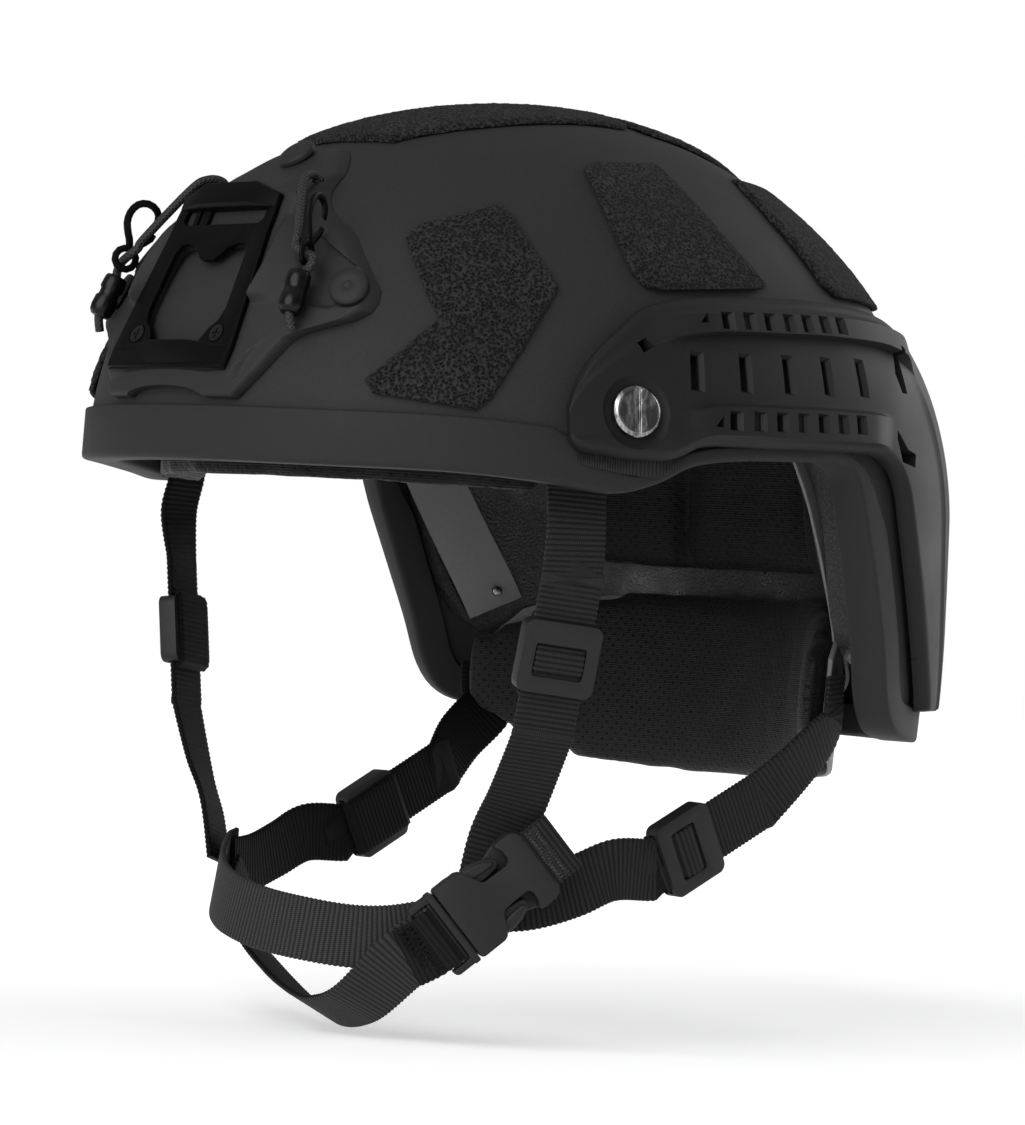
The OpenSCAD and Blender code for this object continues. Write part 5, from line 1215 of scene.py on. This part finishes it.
def chinLower():
    y0 = -clasp["length"] / 2 + 1
    a, n = clasp["axis"], clasp["out"]
    path = [(-57.9, -52.6, jaw - 6), (-53.4, -57.6, jaw - 13.5), (-44, -62.5, jaw - 21), (-30, -66, jaw - 28.5),
            (-15, -69, jaw - 34.5), (-2, -72.5, jaw - 38), (11, -76.5, jaw - 40), (24, -80.5, jaw - 39),
            (36.5, -82.5, jaw - 34.5), atClasp(y0 - 9, -3.3, -1), atClasp(y0 + 1, -2.55), atClasp(y0 + 3.1, -2),
            atClasp(y0 + 3.8, 0), atClasp(y0 + 3.1, 2), atClasp(y0 + 1, 2.55), atClasp(y0 - 3, 1.4),
            atClasp(y0 - 9, -1.3, -1)]
    outs = [u(0.85, 0.5, 0), u(0.8, 0.55, 0.25), u(0.6, 0.5, 0.6), u(0.4, 0.4, 0.82), u(0.2, 0.4, 0.9),
            u(0, 0.45, 0.9), u(-0.15, 0.5, 0.85), u(-0.35, 0.5, 0.8), u(-0.6, 0.5, 0.62), -n, -n,
            (a - n).normalized(), a, (a + n).normalized(), n, n, n]
    return path, outs


def buckleLoop():
    y0 = clasp["length"] / 2 - 3
    a, n = clasp["axis"], clasp["out"]
    path = [atClasp(y0 + 12, 1.4), atClasp(y0 + 4, 1.7), atClasp(y0 + 0.9, 1.75), atClasp(y0 - 0.7, 1.5),
            atClasp(y0 - 1.3, 0), atClasp(y0 - 0.7, -1.5), atClasp(y0 + 0.9, -1.75), atClasp(y0 + 4, -1.6),
            atClasp(y0 + 11.4, -0.3)]
    return path, [n, n, n, (n - a).normalized(), -a, (-a - n).normalized(), -n, -n, -n]


# the far straps take the webbing painted darker as painted shade; the chin straps take copies painted lighter as lit,
# with one face painted darker as painted shade
straps = {
    "left_front_strap": (frontStrap(1), 1, "webbing"),
    "right_front_strap": (frontStrap(0), -1, "shadedWebbing"),
    "left_rear_strap": (rearStrap(-62), 1, "webbing"),
    "right_rear_strap": (rearStrap(-65), -1, "shadedWebbing"),
    "upper_chin_strap": (chinUpper(), 1, "chinWebbing"),
    "lower_chin_strap": (chinLower(), 1, "lowerWebbing"),
    "buckle_loop": (buckleLoop(), 1, "webbing"),
}
for node, (route, side, finish) in straps.items():
    finished(bandPiece(node + "Web", *route, side), node, finish, smooth=50)

# clips: an eye on the cord and a long open hook
clip = {"eye": (-12.3, 8.1), "radius": 3.1, "lean": 1, "thick": 2.2,
        "hook": [(-2.8, 0.3), (-5, 0.9), (-7.4, 2.6), (-10.2, 4.1), (-13.4, 4.3), (-16.2, 3.0), (-17.5, 0.4),
                 (-17.0, -2.2), (-15.2, -3.9), (-12.6, -4.1)],
        "gate": [(-2.6, -0.8), (-4.6, -1.8), (-6.6, -3.2), (-8.4, -4.4), (-10.2, -4.6)]}


def clipPiece(word, side):
    down, along, out = wallAxes(*lanyard["ferrule"])
    s, c = turned(clip["lean"])
    longWay, flatWay = down * c - out * s, out * c + down * s
    origin = wallSpot(*lanyard["ferrule"], clip["eye"][0], 0, clip["eye"][1])
    ring = [(clip["radius"] * c, clip["radius"] * s) for s, c in circle(24) + [turned(360)]]
    parts = [bandPiece(word + name, [origin + longWay * x + flatWay * y for x, y in line], [along] * len(line), side,
                       wide, clip["thick"], False, 3)
             for name, line, wide in (("FlatClip", ring, 2.2), ("Hook", clip["hook"], 2.3),
                                      ("Gate", clip["gate"], 2.0))]
    return joined(*[rounded(part, 0.3, angle=50) for part in parts])


for word, side in sides.items():
    finished(clipPiece(word, side), word + "_clip", "clipPolymer", smooth=40)

# sliders: a frame and the webbing over its bar
slider = {"width": 22.4, "length": 20.4, "thick": 5.4, "window": (14.8, 9.4), "windowAt": -0.9,
          "channel": (18.9, 1.25),
          "hump": [(3.1, 0.6), (2.6, 1.7), (1.6, 2.5), (0, 2.8), (-2.2, 2.75), (-3.6, 2.2), (-4.4, 1.2), (-4.6, 0.4)],
          "back": [(11.4, -1.5), (10.4, -2.9), (8.6, -3.35), (0, -3.4), (-8.6, -3.35), (-10.4, -2.9), (-11.4, -1.5)]}


def sliderPiece(node, strap, spot, side):
    at, run = spot["at"], spot["run"]
    across = (-run).cross(spot["out"]).normalized()
    axes = (across, -run, across.cross(-run))
    half = slider["thick"] / 2
    wide, long = slider["window"]
    through, deep = slider["channel"]
    piece = prism(node + "Frame", at, axes, (-half, half), roundBox(slider["width"], slider["length"], 2.6, 5), side)
    cutBy(piece, prism("cut", at, axes, (0, 9), roundBox(wide, long, 0.7, 2, (0, slider["windowAt"])), side),
          prism("cut", at, axes, (-deep, deep), oblong(through, 40), side))
    finished(rounded(piece, 0.85, 3, 50), node, "bucklePlastic", smooth=40)
    for name, face, breadth in (("hump", 1, wide - 0.4), ("back", -1, webbing["width"])):
        path = [at + axes[1] * y + axes[2] * h for y, h in slider[name]]
        web = bandPiece(node + "Webbing" + name, path, [axes[2] * face] * len(path), side, breadth, 1.1)
        # the far sliders' webbing is painted darker as painted shade
        finished(web, strap, "webbing" if side > 0 else "shadedWebbing", 50, False, bodyOf[node])


for word, side in sides.items():
    for end, spot in (("front", frontSlider), ("rear", rearSlider)):
        sliderPiece("%s_%s_slider" % (word, end), "%s_%s_strap" % (word, end), spot, side)

# side-release buckle, on the clasp's own axes
buckle = {
    "half": 3.5,
    "female": [(11.3, -10.3), (11.8, -9.4), (11.8, -2.2), (11.2, -0.9), (9.4, 0.2), (5.4, 2.2), (4.8, 3.2),
               (4.6, 10.4), (4.9, 11.6), (6.4, 12.3), (8.6, 12.1), (10.6, 11.2), (11.2, 11.4), (11.4, 12.6),
               (11.3, 16.4), (10.6, 18.0), (9.0, 18.9)],
    "floor": [(11.3, -10.3), (11.8, -9.4), (11.8, -4.6), (10.4, -2.6), (9.4, 0.5), (9.4, 6.5), (10.6, 10),
              (11.4, 12.6), (11.3, 16.4), (10.6, 18.0), (9.0, 18.9)],
    "prong": [(5.2, -7.9), (6.6, -7.9), (7.9, -2.4), (10.2, -2.0), (11.0, -0.6), (11.0, 2.6), (10.2, 5.8), (8.6, 8.6),
              (7.4, 9.5), (6.2, 9.3), (5.5, 7.8), (5.0, 4), (5.0, 0)],
    "crown": [(7.6, -1.2), (10.0, -1.4), (10.6, -0.4), (10.6, 2.4), (9.8, 5.4), (8.3, 8.0), (7.4, 8.6), (6.9, 7.6),
              (7.0, 4)],
}
claspAxes = (clasp["side"], clasp["axis"], clasp["out"])


def claspPrism(name, heights, outline):
    return prism(name, clasp["at"], claspAxes, heights, outline)


def claspPiece(node, bevel, *parts):
    # parts of one moulding, each with its edges rounded
    finished(joined(*[rounded(part, bevel, 3, 50) for part in parts]), node, "bucklePlastic", smooth=40)


def bucklePieces():
    h = buckle["half"]
    top = claspPrism("buckleSocket", (-2.3, h), mirrored(buckle["female"]))
    cutBy(top, claspPrism("cut", (-3.0, 1.9), box(-10.3, 10.3, -12, 10.8)))
    cutBy(top, claspPrism("cut", (-3.0, 2.6), box(-9.7, 9.7, 13.2, 22)))
    claspPiece("buckle_female", 0.55, top, claspPrism("floor", (-h, -2.2), mirrored(buckle["floor"])),
               claspPrism("bar", (-0.95, 0.95), box(-10, 10, 15.9, 18.2)))
    male = claspPrism("buckleTongueFrame", (-2, 2), roundBox(23.6, 8.4, 1.4, 3, (0, -14.9)))
    cutBy(male, claspPrism("cut", (-5, 5), box(-9.7, 9.7, -20, -12.9)))
    claspPiece("buckle_male", 0.45, male, claspPrism("collar", (-3.3, 3.3), roundBox(23.8, 2.1, 0.5, 2, (0, -11.85))),
               claspPrism("bar", (-1.2, 1.2), box(-10, 10, -18.2, -15.4)),
               claspPrism("guide", (-1.4, 1.4), box(-2.6, 2.6, -11, 4)))
    tuck = [atClasp(y, h) for y, h in ((-16.6, 1.95), (-15.2, 1.9), (-13.95, 1.3), (-13.75, 0), (-13.95, -1.3),
                                       (-15.2, -1.9), (-16.6, -1.95))]
    outs = [clasp["out"]] * 2 + [clasp["axis"]] * 3 + [-clasp["out"]] * 2
    # the tuck takes the chin straps' copy: painted lighter as lit, with one face painted darker as painted shade
    finished(bandPiece("webThroughSlot", tuck, outs, width=19), "lower_chin_strap", "chinWebbing", 50, False)
    for node, side in (("upper_prong", -1), ("lower_prong", 1)):
        outline, crown = ([(x * side, y) for x, y in buckle[edge]] for edge in ("prong", "crown"))
        prong = rounded(claspPrism(node + "Catch", (-1.7, 1.75), outline), 0.5, 3, 50)
        top = rounded(claspPrism("crown", (1.0, 2.7), crown), 0.7, 3, 50)
        finished(joined(prong, top), node, "bucklePlastic", smooth=40)


bucklePieces()
print("clips, sliders and buckle ready")


# sewing: rows of thread on the webbing
def zigzag(name, spotAt, count, wide, node, look, thread=0.3):
    # spotAt gives a point in millimetres for a share along the row and a step across it
    line = [seated(spotAt(k / (count * 2), wide if k % 2 else -wide)) for k in range(count * 2 + 1)]
    finished(tubePiece(name, smoothLine(line, 3), thread * mm, 6), node, look, 60, False)


for number, y in enumerate((20.9, 23.2)):
    zigzag("stubStitch%d" % number,
           lambda share, step, y=y: atClasp(y + step, 2.35 - (y - 20.9) * 0.1, -8 + 16 * share),
           16, 0.75, "buckle_loop", "stitchThread")
for number, (y, h) in enumerate(((-21.8, 2.15), (-24.4, 0.95))):
    zigzag("foldStitch%d" % number,
           lambda share, step, y=y, h=h: atClasp(y + step, h + step * 0.45, -8.5 + 16 * share),
           10, 1.1, "lower_chin_strap", "darkThread")
print("sewing ready")

arm = {"keys": [(107.4, 22), (109.6, 15.5), (112.4, 7.8), (118.6, -9), (124.9, -26.3), (127, -33)],
       "off": -21.65, "width": 18.5, "thick": 1.2}
for word, side in sides.items():
    strip = bandPiece(word + "FitArmStrip", [onShell(a, z, arm["off"]) for a, z in arm["keys"]],
                      [wallNormal(a, z) for a, z in arm["keys"]], side, arm["width"], arm["thick"], False)
    finished(strip, word + "_fit_arm", "armPlastic", smooth=40)
print("webbing and strips ready")


# pads: copies of the solids, remeshed and swelled as cloth
pads = {
    # voxel, cap on the swelling, seams as angles, centre angle
    "brow_pad": (4.5, 2.2, (-27, 0, 27), 0), "rear_pad": (4.5, 2.4, (164, 196), 180),
    "left_side_pad": (4.0, 2.2, (81,), 81), "right_side_pad": (4.0, 2.2, (-81,), -81),
    "crown_pad": (4.5, 2.4, (), None), "nape_pad": (4.5, 2.6, (), 180),
}


def offOf(point):
    # how far a point in metres lies outside the shell's face, in millimetres
    x, y, z = point.x / mm, point.y / mm, point.z / mm + wall["seat"]
    if z > 70:
        up = overShell(x, y, 0).z
        return (z - up) * wallNormal(math.degrees(math.atan2(x, -y)), min(up, 108)).z
    angle = math.degrees(math.atan2(x, -y))
    return (Vector((x, y, z)) - onShell(angle, z, 0)).dot(wallNormal(angle, z))


def wrapMap(piece, centre):
    # the pad's own map in metres: along the wall and up it
    if not piece.data.uv_layers:
        piece.data.uv_layers.new(name="weave")
    layer = piece.data.uv_layers.active.data
    for loop in piece.data.loops:
        point = piece.data.vertices[loop.vertex_index].co
        if centre is None:
            layer[loop.index].uv = (point.x, point.y)
        else:
            angle = (math.degrees(math.atan2(point.x, -point.y)) - centre + 180) % 360 - 180
            layer[loop.index].uv = (math.radians(angle) * 0.098, point.z)


def swelled(piece, cap, depth):
    start = [vertex.co.copy() for vertex in piece.data.vertices]
    group = piece.vertex_groups.new(name="back")
    for vertex in piece.data.vertices:
        group.add([vertex.index], min(max((offOf(vertex.co) - depth) / 1.5, 0.0), 1.0), "REPLACE")
    cloth = piece.modifiers.new("swell", "CLOTH")
    setAll(cloth.settings, quality=4, mass=0.3, tension_stiffness=12, compression_stiffness=12, shear_stiffness=5,
           bending_stiffness=0.5, use_pressure=True, uniform_pressure_force=4, vertex_group_mass="back")
    cloth.settings.effector_weights.gravity = 0
    setAll(cloth.point_cache, frame_start=1, frame_end=20)
    for moment in range(1, 21):
        bpy.context.scene.frame_set(moment)
    shape = piece.evaluated_get(bpy.context.evaluated_depsgraph_get()).data
    ends = [vertex.co.copy() for vertex in shape.vertices]
    bpy.context.scene.frame_set(1)
    piece.modifiers.remove(cloth)
    for vertex, was, now in zip(piece.data.vertices, start, ends):
        move = now - was
        if move.length > cap * mm:
            move = move.normalized() * cap * mm
        vertex.co = was + move


padding = {"shrink": 0.5, "free": 4.5, "fade": (7, 2), "seamWidth": 2.6, "seamDepth": 2.6, "reach": 1.7}


def paddedPiece(node, voxel, cap, seams, centre, finish):
    piece = copied(frame["nodes"][node], camel(node) + "Cushion")
    edited(piece, merge)
    edited(modified(piece, "REMESH", mode="VOXEL", voxel_size=voxel * mm), faceOut)
    normals = [vertex.normal.copy() for vertex in piece.data.vertices]
    for vertex, normal in zip(piece.data.vertices, normals):
        vertex.co -= normal * padding["shrink"] * mm
    back = max(offOf(vertex.co) for vertex in piece.data.vertices)
    swelled(piece, cap, back - padding["free"])
    modified(piece, "SUBSURF", levels=1, render_levels=1)
    near, far = padding["fade"]
    for vertex in piece.data.vertices:
        angle = math.degrees(math.atan2(vertex.co.x, -vertex.co.y)) % 360
        for seam in seams:
            away = abs((angle - seam + 180) % 360 - 180) * padding["reach"]
            front = 1 - ramp(offOf(vertex.co), back - near, back - far)
            pull = math.exp(-(away / padding["seamWidth"]) ** 2) * padding["seamDepth"] * front
            out = Vector((vertex.co.x, vertex.co.y, 0)).normalized()
            vertex.co += out * pull * mm
    wrapMap(piece, centre)
    finished(piece, node, finish, smooth=60)


for node, values in pads.items():
    paddedPiece(node, *values, "napeMesh" if node == "nape_pad" else "padFabric")
print("pads ready")
